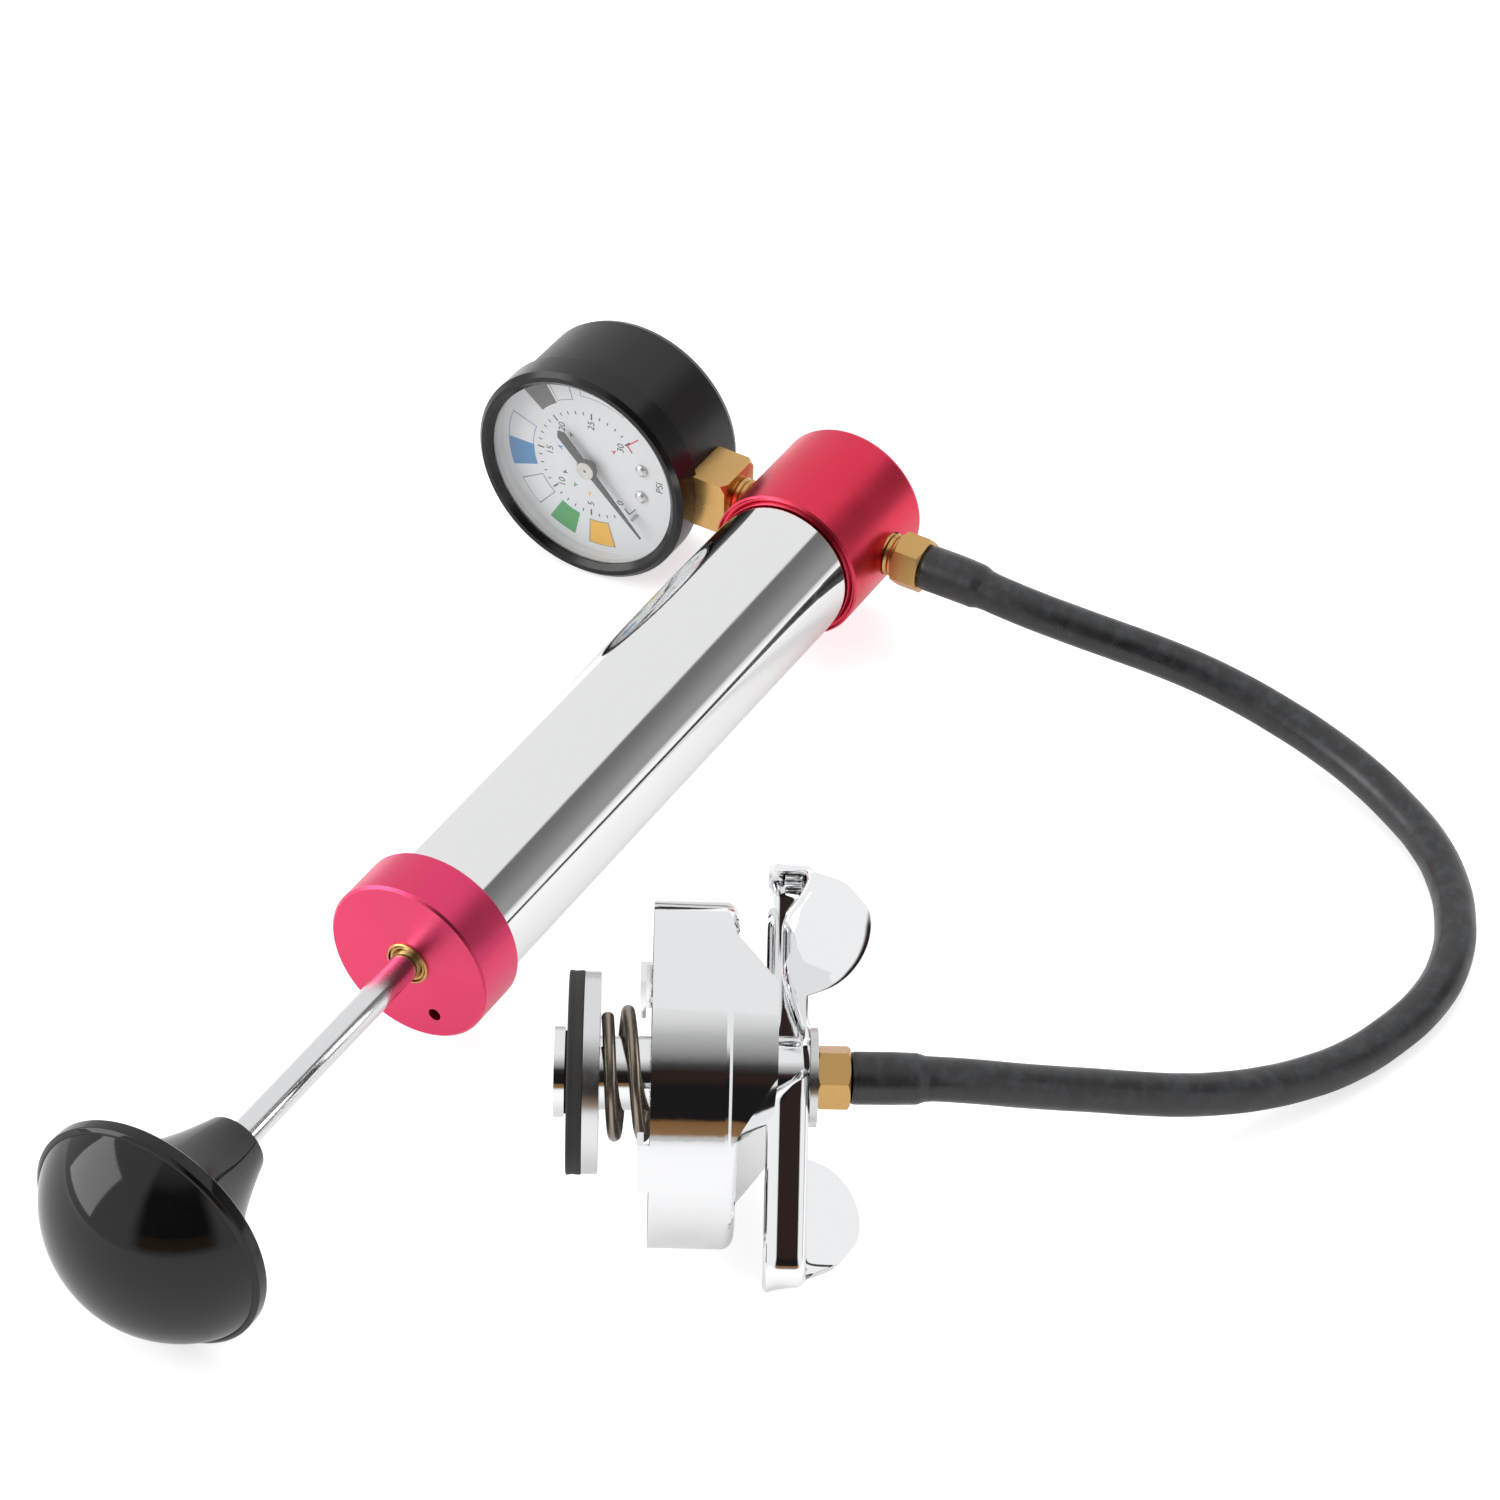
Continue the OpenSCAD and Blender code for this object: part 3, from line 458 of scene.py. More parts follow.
@dataclass(frozen=True)
class Finish:
    """One finish: its colour and gloss, and the marks of its making and use.

    pitch and depth are the size and height of the making's marks in millimetres, and hand is the
    size of the smudges. tint is the colour that the marks, edges or bloom lean towards, by the
    shares line, edge and bloom. dusty is how fine the bloom is, in patches to the metre.
    """

    name: str
    slot: str
    colour: Colour
    rough: float
    metal: float = 1.0
    marks: Marks = Marks.PLAIN
    pitch: float = 0.15
    depth: float = 0.002
    tint: Colour = (0.5, 0.5, 0.5)
    line: float = 0.1
    edge: float = 0.0
    bloom: float = 0.0
    rough_spread: float = 0.08
    scratch: float = 0.3
    coat: float = 0.0
    coat_rough: float = 0.05
    specular: float = 0.5
    hand: float = 14.0
    dusty: float = 70.0

    def material(self, effects: Effects, place: Place | None = None) -> bpy.types.Material:
        """Builds the finish's material.

        Args:
            effects: The shared node groups.
            place: The frame whose z axis the marks follow, or None for the shared frame.

        Returns:
            The material, whose marks lie round or along the place's axis.
        """
        mat, g, shader = new_material(self.name, {
            "Metallic": self.metal, "Coat Weight": self.coat, "Coat Roughness": self.coat_rough,
            "Specular IOR Level": self.specular})
        where = g.add("TexCoord").outputs["Object"]
        own = where
        if place is not None:
            mapping = g.add("Mapping", vector_type="TEXTURE")
            matrix = place.matrix()
            mapping.inputs["Location"].default_value = matrix.to_translation()
            mapping.inputs["Rotation"].default_value = matrix.to_euler()
            g.join(where, mapping.inputs["Vector"])
            own = mapping.outputs[0]
        marks = self._marks(g, effects, own)
        hands = g.use(effects.handling, Vector=own, Size=self.hand * MM)
        tone = g.math("MULTIPLY", marks, self.line)
        if self.edge:
            worn = g.use(effects.worn_edge, Vector=own, Radius=WEAR_RADIUS * MM)
            tone = g.math("ADD", tone, g.math("MULTIPLY", worn.outputs["Mask"], self.edge))
        if self.bloom:
            dust = g.use(effects.dust, Vector=where, Scale=self.dusty)
            tone = g.math("ADD", tone, g.math("MULTIPLY", dust.outputs["Mask"], self.bloom))
        g.join(g.blend(g.math("MINIMUM", tone, 1.0), self.colour, self.tint), shader.inputs["Base Color"])
        spread = g.math("MULTIPLY", hands.outputs["Smudge"], self.rough_spread)
        scored = g.math("MULTIPLY", hands.outputs["Scratch"], self.scratch * SCRATCH_ROUGH)
        lined = g.math("MULTIPLY", marks, self.rough_spread * MARK_ROUGH)
        total = g.math("ADD", g.math("ADD", spread, scored), g.math("ADD", lined, self.rough))
        g.join(total, shader.inputs["Roughness"])
        if self.depth:
            bump = g.add("Bump")
            bump.inputs["Strength"].default_value = 1.0
            bump.inputs["Distance"].default_value = self.depth * MM
            g.fill(bump.inputs["Height"], marks)
            g.join(bump.outputs[0], shader.inputs["Normal"])
        return mat

    def _marks(self, g: Graph, effects: Effects, own: bpy.types.NodeSocket) -> bpy.types.NodeSocket:
        """Adds the marks of this finish's making.

        Args:
            g: The graph to build in.
            effects: The shared node groups.
            own: The position in the frame that the marks follow.

        Returns:
            The marks as a value of about 0 to 1.
        """
        if self.marks is Marks.TURNED:
            return g.use(effects.lathe_lines, Vector=own, Pitch=self.pitch * MM).outputs["Value"]
        if self.marks is Marks.DRAWN:
            return g.use(effects.drawn_lines, Vector=own, Pitch=self.pitch * MM).outputs["Value"]
        if self.marks is Marks.MOULDED:
            return g.use(effects.pebble, Vector=own, Size=self.pitch * MM).outputs["Height"]
        return g.noise(own, 1.0 / (self.pitch * MM), 4.0)


PINK = Finish("pink_anodised", "pink_anodised", (0.77, 0.038, 0.132), 0.31, marks=Marks.TURNED, pitch=0.09,
              depth=0.0012, tint=(0.95, 0.26, 0.40), line=0.2, edge=0.5, coat=0.14, coat_rough=0.14)
RED = Finish("red_anodised", "red_anodised", (0.76, 0.027, 0.075), 0.3, marks=Marks.TURNED, pitch=0.09,
             depth=0.0012, tint=(0.92, 0.19, 0.26), line=0.14, edge=0.4, coat=0.14, coat_rough=0.14)
TUBE = Finish("polished_tube", "polished_tube", (0.86, 0.86, 0.855), 0.03, marks=Marks.DRAWN, pitch=0.12,
              depth=0.00025, tint=(0.76, 0.76, 0.77), line=0.12, rough_spread=0.03, scratch=0.5)
CHROME = Finish("chrome", "chrome", (0.86, 0.865, 0.87), 0.03, marks=Marks.PLAIN, pitch=3.5,
                depth=0.012, tint=(0.74, 0.75, 0.77), line=0.1, rough_spread=0.03, scratch=0.12)
WING_CHROME = Finish("wing_chrome", "chrome", (0.94, 0.945, 0.95), 0.035, marks=Marks.PLAIN, pitch=0.8,
                     depth=0.004, tint=(0.82, 0.83, 0.85), line=0.1, rough_spread=0.03, scratch=0.12)
BRASS = Finish("brass", "brass", (0.70, 0.44, 0.165), 0.19, marks=Marks.TURNED, pitch=0.11,
               depth=0.0015, tint=(0.36, 0.17, 0.055), line=0.42, rough_spread=0.14, scratch=0.4)
ZINC_ROD = Finish("zinc_rod", "zinc_rod", (0.80, 0.805, 0.81), 0.1, marks=Marks.DRAWN, pitch=0.16,
                  depth=0.0006, tint=(0.6, 0.6, 0.62), line=0.3, rough_spread=0.1, scratch=0.5)
PLATED = Finish("plated_steel", "plated_steel", (0.72, 0.72, 0.71), 0.2, marks=Marks.TURNED, pitch=0.12,
                depth=0.001, tint=(0.46, 0.45, 0.42), line=0.25, rough_spread=0.12)
SPRING = Finish("spring_steel", "spring_steel", (0.40, 0.345, 0.285), 0.24, marks=Marks.PLAIN, pitch=0.6,
                depth=0.003, tint=(0.24, 0.19, 0.14), line=0.5, rough_spread=0.14)
ALUMINIUM = Finish("seal_aluminium", "seal_aluminium", (0.78, 0.785, 0.79), 0.16, marks=Marks.TURNED,
                   pitch=0.14, depth=0.0018, tint=(0.58, 0.58, 0.6), line=0.28, rough_spread=0.1)
KNOB_BLACK = Finish("black_gloss", "black_gloss", (0.004, 0.0038, 0.004), 0.045, metal=0.0,
                    marks=Marks.MOULDED, pitch=1.6, depth=0.0010, tint=(0.03, 0.03, 0.028), line=0.1,
                    edge=0.5, rough_spread=0.04, bloom=0.05, specular=0.42)
BEZEL_BLACK = Finish("bezel_black", "black_gloss", (0.005, 0.0047, 0.0045), 0.16, metal=0.0,
                     marks=Marks.TURNED, pitch=0.25, depth=0.0012, tint=(0.04, 0.037, 0.035), line=0.1,
                     edge=0.35, rough_spread=0.06, specular=0.36)
CASE_BLACK = Finish("black_satin", "black_satin", (0.008, 0.007, 0.0063), 0.27, metal=0.0,
                    marks=Marks.MOULDED, pitch=0.35, depth=0.002, tint=(0.035, 0.031, 0.028), line=0.12,
                    edge=0.35, rough_spread=0.06, specular=0.38)
RUBBER = Finish("black_rubber", "black_rubber", (0.028, 0.0265, 0.025), 0.62, metal=0.0, marks=Marks.MOULDED,
                pitch=0.5, depth=0.012, tint=(0.10, 0.097, 0.09), line=0.2, edge=0.5, bloom=0.35,
                rough_spread=0.12, specular=0.4)
HOSE_RUBBER = Finish("hose_rubber", "hose_rubber", (0.014, 0.0142, 0.0152), 0.25, metal=0.0,
                     marks=Marks.MOULDED, pitch=0.45, depth=0.006, tint=(0.12, 0.13, 0.15), line=0.08,
                     bloom=0.17, rough_spread=0.16, specular=0.55, hand=9.0, dusty=330.0)
LEATHER = Finish("leather_cup", "leather_cup", (0.16, 0.085, 0.04), 0.6, metal=0.0, marks=Marks.MOULDED,
                 pitch=0.7, depth=0.03, tint=(0.07, 0.035, 0.018), line=0.5, specular=0.3)
PALE_TRIM = Finish("pale_trim", "pale_trim", (0.66, 0.665, 0.66), 0.4, metal=0.0, marks=Marks.TURNED,
                   pitch=0.3, depth=0.004, tint=(0.42, 0.42, 0.42), line=0.3)
DIAL_CARD = Finish("dial_card", "dial", (0.70, 0.725, 0.745), 0.42, metal=0.0, marks=Marks.MOULDED,
                   pitch=0.3, depth=0.001, tint=(0.60, 0.62, 0.64), line=0.1, scratch=0.0)
NEEDLE_GREY = Finish("needle_grey", "needle_grey", (0.038, 0.039, 0.041), 0.5, metal=0.0, marks=Marks.MOULDED,
                     pitch=0.3, depth=0.0, tint=(0.08, 0.08, 0.08), line=0.15, specular=0.2, scratch=0.0)
# Painted shade: the dial screws' plated steel, painted darker than PLATED to stand for the shade that they
# sit in.
SHADED_SCREW_STEEL = Finish("screw_steel_painted_shade", "plated_steel", (0.46, 0.455, 0.45), 0.24, marks=Marks.TURNED, pitch=0.1,
                     depth=0.001, tint=(0.3, 0.29, 0.28), line=0.3, rough_spread=0.1)
HUB_SILVER = Finish("hub_silver", "plated_steel", (0.47, 0.45, 0.42), 0.38, marks=Marks.TURNED, pitch=0.08,
                    depth=0.001, tint=(0.40, 0.385, 0.36), line=0.3)


def ink(name: str, colour: Colour) -> Finish:
    """Makes a printed colour of the dial, slightly uneven as screen print is.

    Args:
        name: The ink's name.
        colour: Its colour.

    Returns:
        The finish.
    """
    pale = tuple((1 - PALE_SHARE) * part + PALE_SHARE * PAPER_WHITE for part in colour)
    return Finish("ink_" + name, "dial", colour, 0.4, metal=0.0, marks=Marks.MOULDED, pitch=0.35,
                  depth=0.0003, tint=pale, line=0.12, specular=0.2, scratch=0.0)


INKS = {
    "black": ink("black", (0.008, 0.008, 0.01)),
    "line": ink("line", (0.10, 0.105, 0.12)),
    "grey": ink("grey", (0.085, 0.087, 0.085)),
    "white": ink("white", (0.72, 0.74, 0.76)),
    "blue": ink("blue", (0.015, 0.20, 0.46)),
    "green": ink("green", (0.012, 0.30, 0.055)),
    "yellow": ink("yellow", (0.84, 0.44, 0.0)),
    "red": ink("red", (0.62, 0.012, 0.025)),
}


def glass() -> bpy.types.Material:
    """Makes clear lens glass, which lets lamps and pale light through to the dial.

    Returns:
        The material.
    """
    mat, g, shader = new_material("lens_glass", {
        "Base Color": (1, 1, 1, 1), "IOR": 1.46, "Transmission Weight": 1.0})
    where = g.add("TexCoord").outputs["Object"]
    haze = g.ease(g.noise(where, 160.0, 3.0), 0.4, 0.8, (0.0, 0.02))
    g.join(haze, shader.inputs["Roughness"])
    clear = g.add("BsdfTransparent")
    path = g.add("LightPath")
    passes = g.math("MAXIMUM", path.outputs["Is Shadow Ray"], path.outputs["Is Diffuse Ray"])
    both = g.add("MixShader")
    g.join(passes, both.inputs[0])
    g.join(shader.outputs[0], both.inputs[1])
    g.join(clear.outputs[0], both.inputs[2])
    surface(mat, both)
    return mat


# ---------------------------------------------------------------- modelling by operators


def _smooth(share: float) -> float:
    """Eases a share from 0 to 1, held at its ends."""
    share = min(1.0, max(0.0, share))
    return share * share * (3 - 2 * share)


def clear_selection() -> None:
    """Leaves edit mode and deselects everything."""
    if bpy.context.object is not None and bpy.context.object.mode != "OBJECT":
        bpy.ops.object.mode_set(mode="OBJECT")
    bpy.ops.object.select_all(action="DESELECT")


def add_object(name: str, data: bpy.types.ID) -> bpy.types.Object:
    """Makes an object and puts it in the scene.

    Args:
        name: Its name.
        data: Its curve, lamp or camera.

    Returns:
        The object.
    """
    obj = bpy.data.objects.new(name, data)
    bpy.context.scene.collection.objects.link(obj)
    return obj


def pick(obj: bpy.types.Object) -> None:
    """Makes an object the only selected one, and the active one.

    Args:
        obj: The object.
    """
    clear_selection()
    obj.select_set(True)
    bpy.context.view_layer.objects.active = obj


def seat(obj: bpy.types.Object, matrix: Matrix) -> bpy.types.Object:
    """Puts an object at a place and applies it, so that its place is in its mesh.

    Args:
        obj: The object.
        matrix: Where it goes.

    Returns:
        The same object.
    """
    pick(obj)
    obj.matrix_world = matrix
    bpy.ops.object.transform_apply(location=True, rotation=True, scale=True)
    return obj


def modify(obj: bpy.types.Object, kind: str, **settings: object) -> None:
    """Adds a modifier and applies it.

    Args:
        obj: The object.
        kind: The modifier's type.
        **settings: What to set on it.
    """
    pick(obj)
    modifier = obj.modifiers.new(kind.lower(), kind)
    for name, value in settings.items():
        setattr(modifier, name, value)
    bpy.ops.object.modifier_apply(modifier=modifier.name)


def turn_out(obj: bpy.types.Object, near: float) -> None:
    """Merges doubles and turns the faces outwards.

    Args:
        obj: The piece.
        near: How near in metres two vertices are to be one.
    """
    pick(obj)
    bpy.ops.object.mode_set(mode="EDIT")
    bpy.ops.mesh.select_all(action="SELECT")
    bpy.ops.mesh.remove_doubles(threshold=near)
    bpy.ops.mesh.normals_make_consistent(inside=False)
    bpy.ops.object.mode_set(mode="OBJECT")


def close_up(obj: bpy.types.Object, corner: float = 35.0) -> None:
    """Merges doubles, turns the faces outwards and shades by angle."""
    turn_out(obj, 1e-6)
    bpy.ops.object.shade_smooth_by_angle(angle=math.radians(corner))


@dataclass(frozen=True)
class Corner:
    """A corner of an outline, in millimetres, and the radius that it is rounded to."""

    a: float
    b: float
    round: float = 0.0


def outline(corners: list[Corner], steps: int = 6) -> list[tuple[float, float]]:
    """Turns corners into points, with an arc at each rounded one.

    Args:
        corners: The outline's corners in order, open at its ends.
        steps: The number of arc pieces at a rounded corner.

    Returns:
        The points in order, in millimetres.
    """
    points: list[tuple[float, float]] = []
    for index, corner in enumerate(corners):
        here = Vector((corner.a, corner.b))
        if not corner.round or index in (0, len(corners) - 1):
            points.append((corner.a, corner.b))
            continue
        before = (Vector((corners[index - 1].a, corners[index - 1].b)) - here).normalized()
        after = (Vector((corners[index + 1].a, corners[index + 1].b)) - here).normalized()
        half = before.angle(after) / 2
        centre = here + (before + after).normalized() * corner.round / math.sin(half)
        first = here + before * corner.round / math.tan(half) - centre
        turn = first.angle_signed(here + after * corner.round / math.tan(half) - centre)
        for step in range(steps + 1):
            angle = -turn * step / steps
            x = first.x * math.cos(angle) - first.y * math.sin(angle)
            y = first.x * math.sin(angle) + first.y * math.cos(angle)
            points.append((centre.x + x, centre.y + y))
    return points


def draw_line(name: str, points: list[Point]) -> bpy.types.Object:
    """Extrudes one vertex along points, and stays in edit mode with all selected.

    Args:
        name: The line's name.
        points: The points in millimetres.

    Returns:
        The line, still in edit mode.
    """
    clear_selection()
    bpy.ops.mesh.primitive_plane_add(size=MM)
    obj = bpy.context.object
    obj.name = name
    bpy.ops.object.mode_set(mode="EDIT")
    bpy.ops.mesh.select_all(action="SELECT")
    bpy.ops.mesh.merge(type="CENTER")
    bpy.ops.transform.translate(value=Vector(points[0]) * MM)
    for here, there in zip(points, points[1:]):
        step = (Vector(there) - Vector(here)) * MM
        bpy.ops.mesh.extrude_region_move(TRANSFORM_OT_translate={"value": step})
    bpy.ops.mesh.select_all(action="SELECT")
    return obj


def turned(name: str, profile: list[tuple[float, float]], place: Place, steps: int = 96,
           corner: float = 35.0) -> bpy.types.Object:
    """Turns a piece on the lathe.

    Args:
        name: The piece's name.
        profile: Radius and height of each point of the outline, in millimetres.
        place: The frame whose z axis is the lathe's.
        steps: The number of facets round it.
        corner: The angle in degrees above which an edge stays sharp.

    Returns:
        The finished piece, with its place in its mesh.
    """
    obj = draw_line(name, [(r, 0.0, z) for r, z in profile])
    bpy.ops.mesh.spin(steps=steps, angle=math.tau, center=(0, 0, 0), axis=(0, 0, 1))
    bpy.ops.object.mode_set(mode="OBJECT")
    close_up(obj, corner)
    return seat(obj, place.matrix())


def flat_ring(name: str, radii: tuple[float, float], span: tuple[float, float],
              thick: float) -> bpy.types.Object:
    """Makes a thin piece of a ring in the plane z = 0.

    Args:
        name: The piece's name.
        radii: Its inner and outer radius in millimetres.
        span: The angles in degrees that it starts and ends at.
        thick: Its thickness in millimetres.

    Returns:
        The piece.
    """
    obj = draw_line(name, [(radii[0], 0, 0), (radii[1], 0, 0)])
    width = math.radians(span[1] - span[0])
    steps = max(1, round(math.degrees(width) / 2))
    bpy.ops.mesh.spin(steps=steps, angle=-width, center=(0, 0, 0), axis=(0, 0, 1))
    bpy.ops.object.mode_set(mode="OBJECT")
    return slab(seat(obj, Matrix.Rotation(math.radians(span[0]), 4, "Z")), thick)


def slab(obj: bpy.types.Object, thick: float) -> bpy.types.Object:
    """Gives a flat piece in the plane z = 0 its thickness, upwards.

    Args:
        obj: The flat piece.
        thick: The thickness in millimetres.

    Returns:
        The same piece.
    """
    turn_out(obj, 1e-7)
    if sum(face.normal.z * face.area for face in obj.data.polygons) < 0:
        obj.data.flip_normals()
    modify(obj, "SOLIDIFY", thickness=thick * MM, offset=1.0)
    return obj


def flat_shape(name: str, points: list[tuple[float, float]], angle: float,
               thick: float) -> bpy.types.Object:
    """Makes a thin piece inside an outline in the plane z = 0.

    Args:
        name: The piece's name.
        points: The outline's corners in millimetres.
        angle: The angle in degrees that it is turned to.
        thick: Its thickness in millimetres.

    Returns:
        The piece.
    """
    obj = draw_line(name, [(x, y, 0) for x, y in (*points, points[0])])
    bpy.ops.mesh.remove_doubles(threshold=1e-7)
    bpy.ops.mesh.edge_face_add()
    bpy.ops.object.mode_set(mode="OBJECT")
    return slab(seat(obj, Matrix.Rotation(math.radians(angle), 4, "Z")), thick)


def merged(name: str, pieces: list[bpy.types.Object]) -> bpy.types.Object:
    """Joins pieces into the first of them.

    Args:
        name: The joined piece's name.
        pieces: Two or more pieces.

    Returns:
        The joined piece.
    """
    pick(pieces[0])
    for piece in pieces[1:]:
        piece.select_set(True)
    bpy.ops.object.join()
    pieces[0].name = name
    return pieces[0]


@dataclass(frozen=True)
class Coil:
    """A compression spring with closed ends: its sizes in millimetres and where it starts."""

    name: str
    wire: float
    diameter: float
    turns: float
    low: float
    rise: float
    closed: float
    start: float = 0.0

    def _height(self, turn: float) -> float:
        """Finds the wire's height: its ends are closed and its middle is open.

        Args:
            turn: How many turns from the wire's start.

        Returns:
            The height over the coil's start in millimetres.
        """
        end = self.closed * self.wire
        pitch = (self.rise - 2 * end) / (self.turns - 2)
        if turn < 1:
            return turn * end
        if turn < self.turns - 1:
            return end + (turn - 1) * pitch
        return end + (self.turns - 2) * pitch + (turn - self.turns + 1) * end

    def build(self, place: Place) -> bpy.types.Object:
        """Builds the spring as a round wire along its coil.

        Args:
            place: The frame whose z axis the coil goes round.

        Returns:
            The spring, with its place in its mesh.
        """
        data = bpy.data.curves.new(self.name, "CURVE")
        data.dimensions = "3D"
        spline = data.splines.new("NURBS")
        count = round(self.turns * COIL_STEPS)
        points = []
        for i in range(count + 1):
            turn = self.turns * i / count
            angle = math.tau * turn + math.radians(self.start)
            r = (self.diameter - self.wire) / 2
            points.append((r * math.cos(angle), r * math.sin(angle), self.low + self._height(turn)))
        spline.points.add(len(points) - 1)
        for knot, point in zip(spline.points, points):
            knot.co = (*(Vector(point) * MM), 1.0)
        spline.use_endpoint_u = True
        spline.order_u = 4
        data.bevel_depth = self.wire / 2 * MM
        data.bevel_resolution = 6
        data.resolution_u = 3
        data.use_fill_caps = True
        pick(add_object(self.name, data))
        bpy.ops.object.convert(target="MESH")
        close_up(bpy.context.object, 50.0)
        return seat(bpy.context.object, place.matrix())

    def squash(self, obj: bpy.types.Object, place: Place, joint: str, travel: float, foot: float) -> None:
        """Gives the spring a mesh of its own.

        Args:
            obj: The spring.
            place: The frame that it was built in; not used.
            joint: The joint's name; not used.
            travel: The joint's travel in millimetres; not used.
            foot: The height in the place that the spring would flatten towards; not used.
        """
        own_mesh(obj)


class Workshop:
    """Keeps the materials, dresses CAD nodes and hands pieces over to their bodies."""

    def __init__(self) -> None:
        """Builds the shared effects and an empty shelf of materials."""
        self.effects = Effects()
        self.shelf: dict[tuple[str, Place | None], bpy.types.Material] = {}

    def finish(self, finish: Finish, place: Place | None = None) -> bpy.types.Material:
        """Finds the material of a finish in a frame, and builds it the first time.

        Args:
            finish: The finish.
            place: The frame that its marks follow, or None for the shared frame.

        Returns:
            The material.
        """
        key = (finish.name, place)
        if key not in self.shelf:
            self.shelf[key] = finish.material(self.effects, place)
        return self.shelf[key]

    def dress(self, finish: Finish, place: Place | None, *nodes: str) -> None:
        """Gives CAD nodes a finish.

        Args:
            finish: The finish.
            place: The frame that its marks follow.
            *nodes: The nodes' names.
        """
        for node in nodes:
            self.coat(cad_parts[node], self.finish(finish, place))
            LOG.info("dressed %s in %s", node, finish.name)

    def coat(self, obj: bpy.types.Object, mat: bpy.types.Material) -> None:
        """Makes mat the object's only material."""
        obj.data.materials.clear()
        obj.data.materials.append(mat)

    def fit(self, obj: bpy.types.Object, body: str, finish: Finish, place: Place | None = None,
            replaces: tuple[str, ...] = ()) -> bpy.types.Object:
        """Finishes a new piece and hands it over.

        Args:
            obj: The piece, in place.
            body: The CAD body that it rides on.
            finish: Its finish.
            place: The frame that the finish's marks follow.
            replaces: The CAD nodes that it stands for.

        Returns:
            The piece.
        """
        self.coat(obj, self.finish(finish, place))
        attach(obj, body)
        if replaces:
            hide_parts(*replaces)
        LOG.info("fitted %s to %s", obj.name, body)
        return obj


# ---------------------------------------------------------------- the sub-assemblies


@dataclass
class Pump:
    """The barrel with its two red ends, the rod and the knob.

    The knob's small end stands at neck on the pump's axis, and its own heights count from there.
    Its neck widens by the first number in flare over the length in the second. Its rim has the
    corners in rim, and its dome is part of a ball that leaves the rim at the radius dome_foot.
    """

    neck: float = -59.0
    neck_r: float = 6.8
    neck_foot: float = 0.6
    flare: tuple[float, float] = (9.2, 21.7)
    swell: float = 0.9
    hollow: float = 0.55
    flare_steps: int = 14
    rim: tuple[Corner, ...] = (Corner(24.6, 25.35, 0.8), Corner(25.0, 25.75, 0.3), Corner(25.0, 28.1, 0.35),
                               Corner(24.3, 28.62, 0.35), Corner(23.95, 28.75))
    dome_r: float = 26.7
    dome_foot: float = 23.9
    dome_steps: int = 40
    crown: float = 43.5
    bore_r: float = 4.52
    foot: tuple[tuple[float, float], ...] = ((6.4, 0.0), (6.65, 0.15))
    coil: Coil = Coil("valve_coil", 0.6, 6.4, 5.0, 162.44, 11.02, 1.8333)
    lift: float = 1.5
    bore: float = 16.2

    def knob(self) -> bpy.types.Object:
        """Turns the mushroom knob: a slightly hollow neck, a flat-edged rim and a full dome.

        Returns:
            The knob.
        """
        wider, taller = self.flare
        flare = [(self.neck_r + wider * t + self.swell * t * (1 - t) * (t - 0.9)
                  - self.hollow * math.sin(math.pi * t), self.neck_foot + taller * t)
                 for t in [i / self.flare_steps for i in range(self.flare_steps + 1)]]
        skirt = outline([Corner(*flare[-1]), *self.rim], 5)
        low = math.asin(self.dome_foot / self.dome_r)
        centre = self.crown - self.dome_r
        slants = [low * (1 - i / self.dome_steps) for i in range(self.dome_steps + 1)]
        dome = [(self.dome_r * math.sin(slant), centre + self.dome_r * math.cos(slant)) for slant in slants]
        inside = [(0.0, self.bore), (self.bore_r, self.bore), (self.bore_r, 0.0), *self.foot]
        profile = inside + flare + skirt[1:] + dome
        turned_out = [(r, self.neck - z) for r, z in profile]
        return turned("knob_mushroom", turned_out, PUMP, 128, 40.0)

    def build(self, shop: Workshop) -> None:
        """Builds the knob and the valve spring, and dresses the rest.

        Args:
            shop: The workshop that finishes the pieces and hands them over.
        """
        shop.fit(self.knob(), "handle", KNOB_BLACK, PUMP, ("knob",))
        shop.dress(PINK, PUMP, "front_cap")
        shop.dress(RED, PUMP, "head", "head_collar")
        shop.dress(TUBE, PUMP, "barrel")
        shop.dress(BRASS, PUMP, "rod_bush", "knob_insert", "valve_seat")
        shop.dress(ZINC_ROD, PUMP, "piston_rod")
        shop.dress(PLATED, PUMP, "piston_plate", "piston_washer", "piston_nut")
        shop.dress(LEATHER, PUMP, "piston_cup")
        shop.dress(RUBBER, PUMP, "head_gasket", "valve_disc")
        coil = shop.fit(self.coil.build(PUMP), "root", SPRING, PUMP, ("valve_spring",))
        foot = self.coil.low + self.coil.rise + self.coil.wire / 2
        self.coil.squash(coil, PUMP, "valve_slide", self.lift, foot)


@dataclass(frozen=True)
class Block:
    """A printed block on the dial: its radii, angles and ink, and its outline's ink if it has one."""

    name: str
    radii: tuple[float, float]
    span: tuple[float, float]
    fill: str
    border: str | None = None


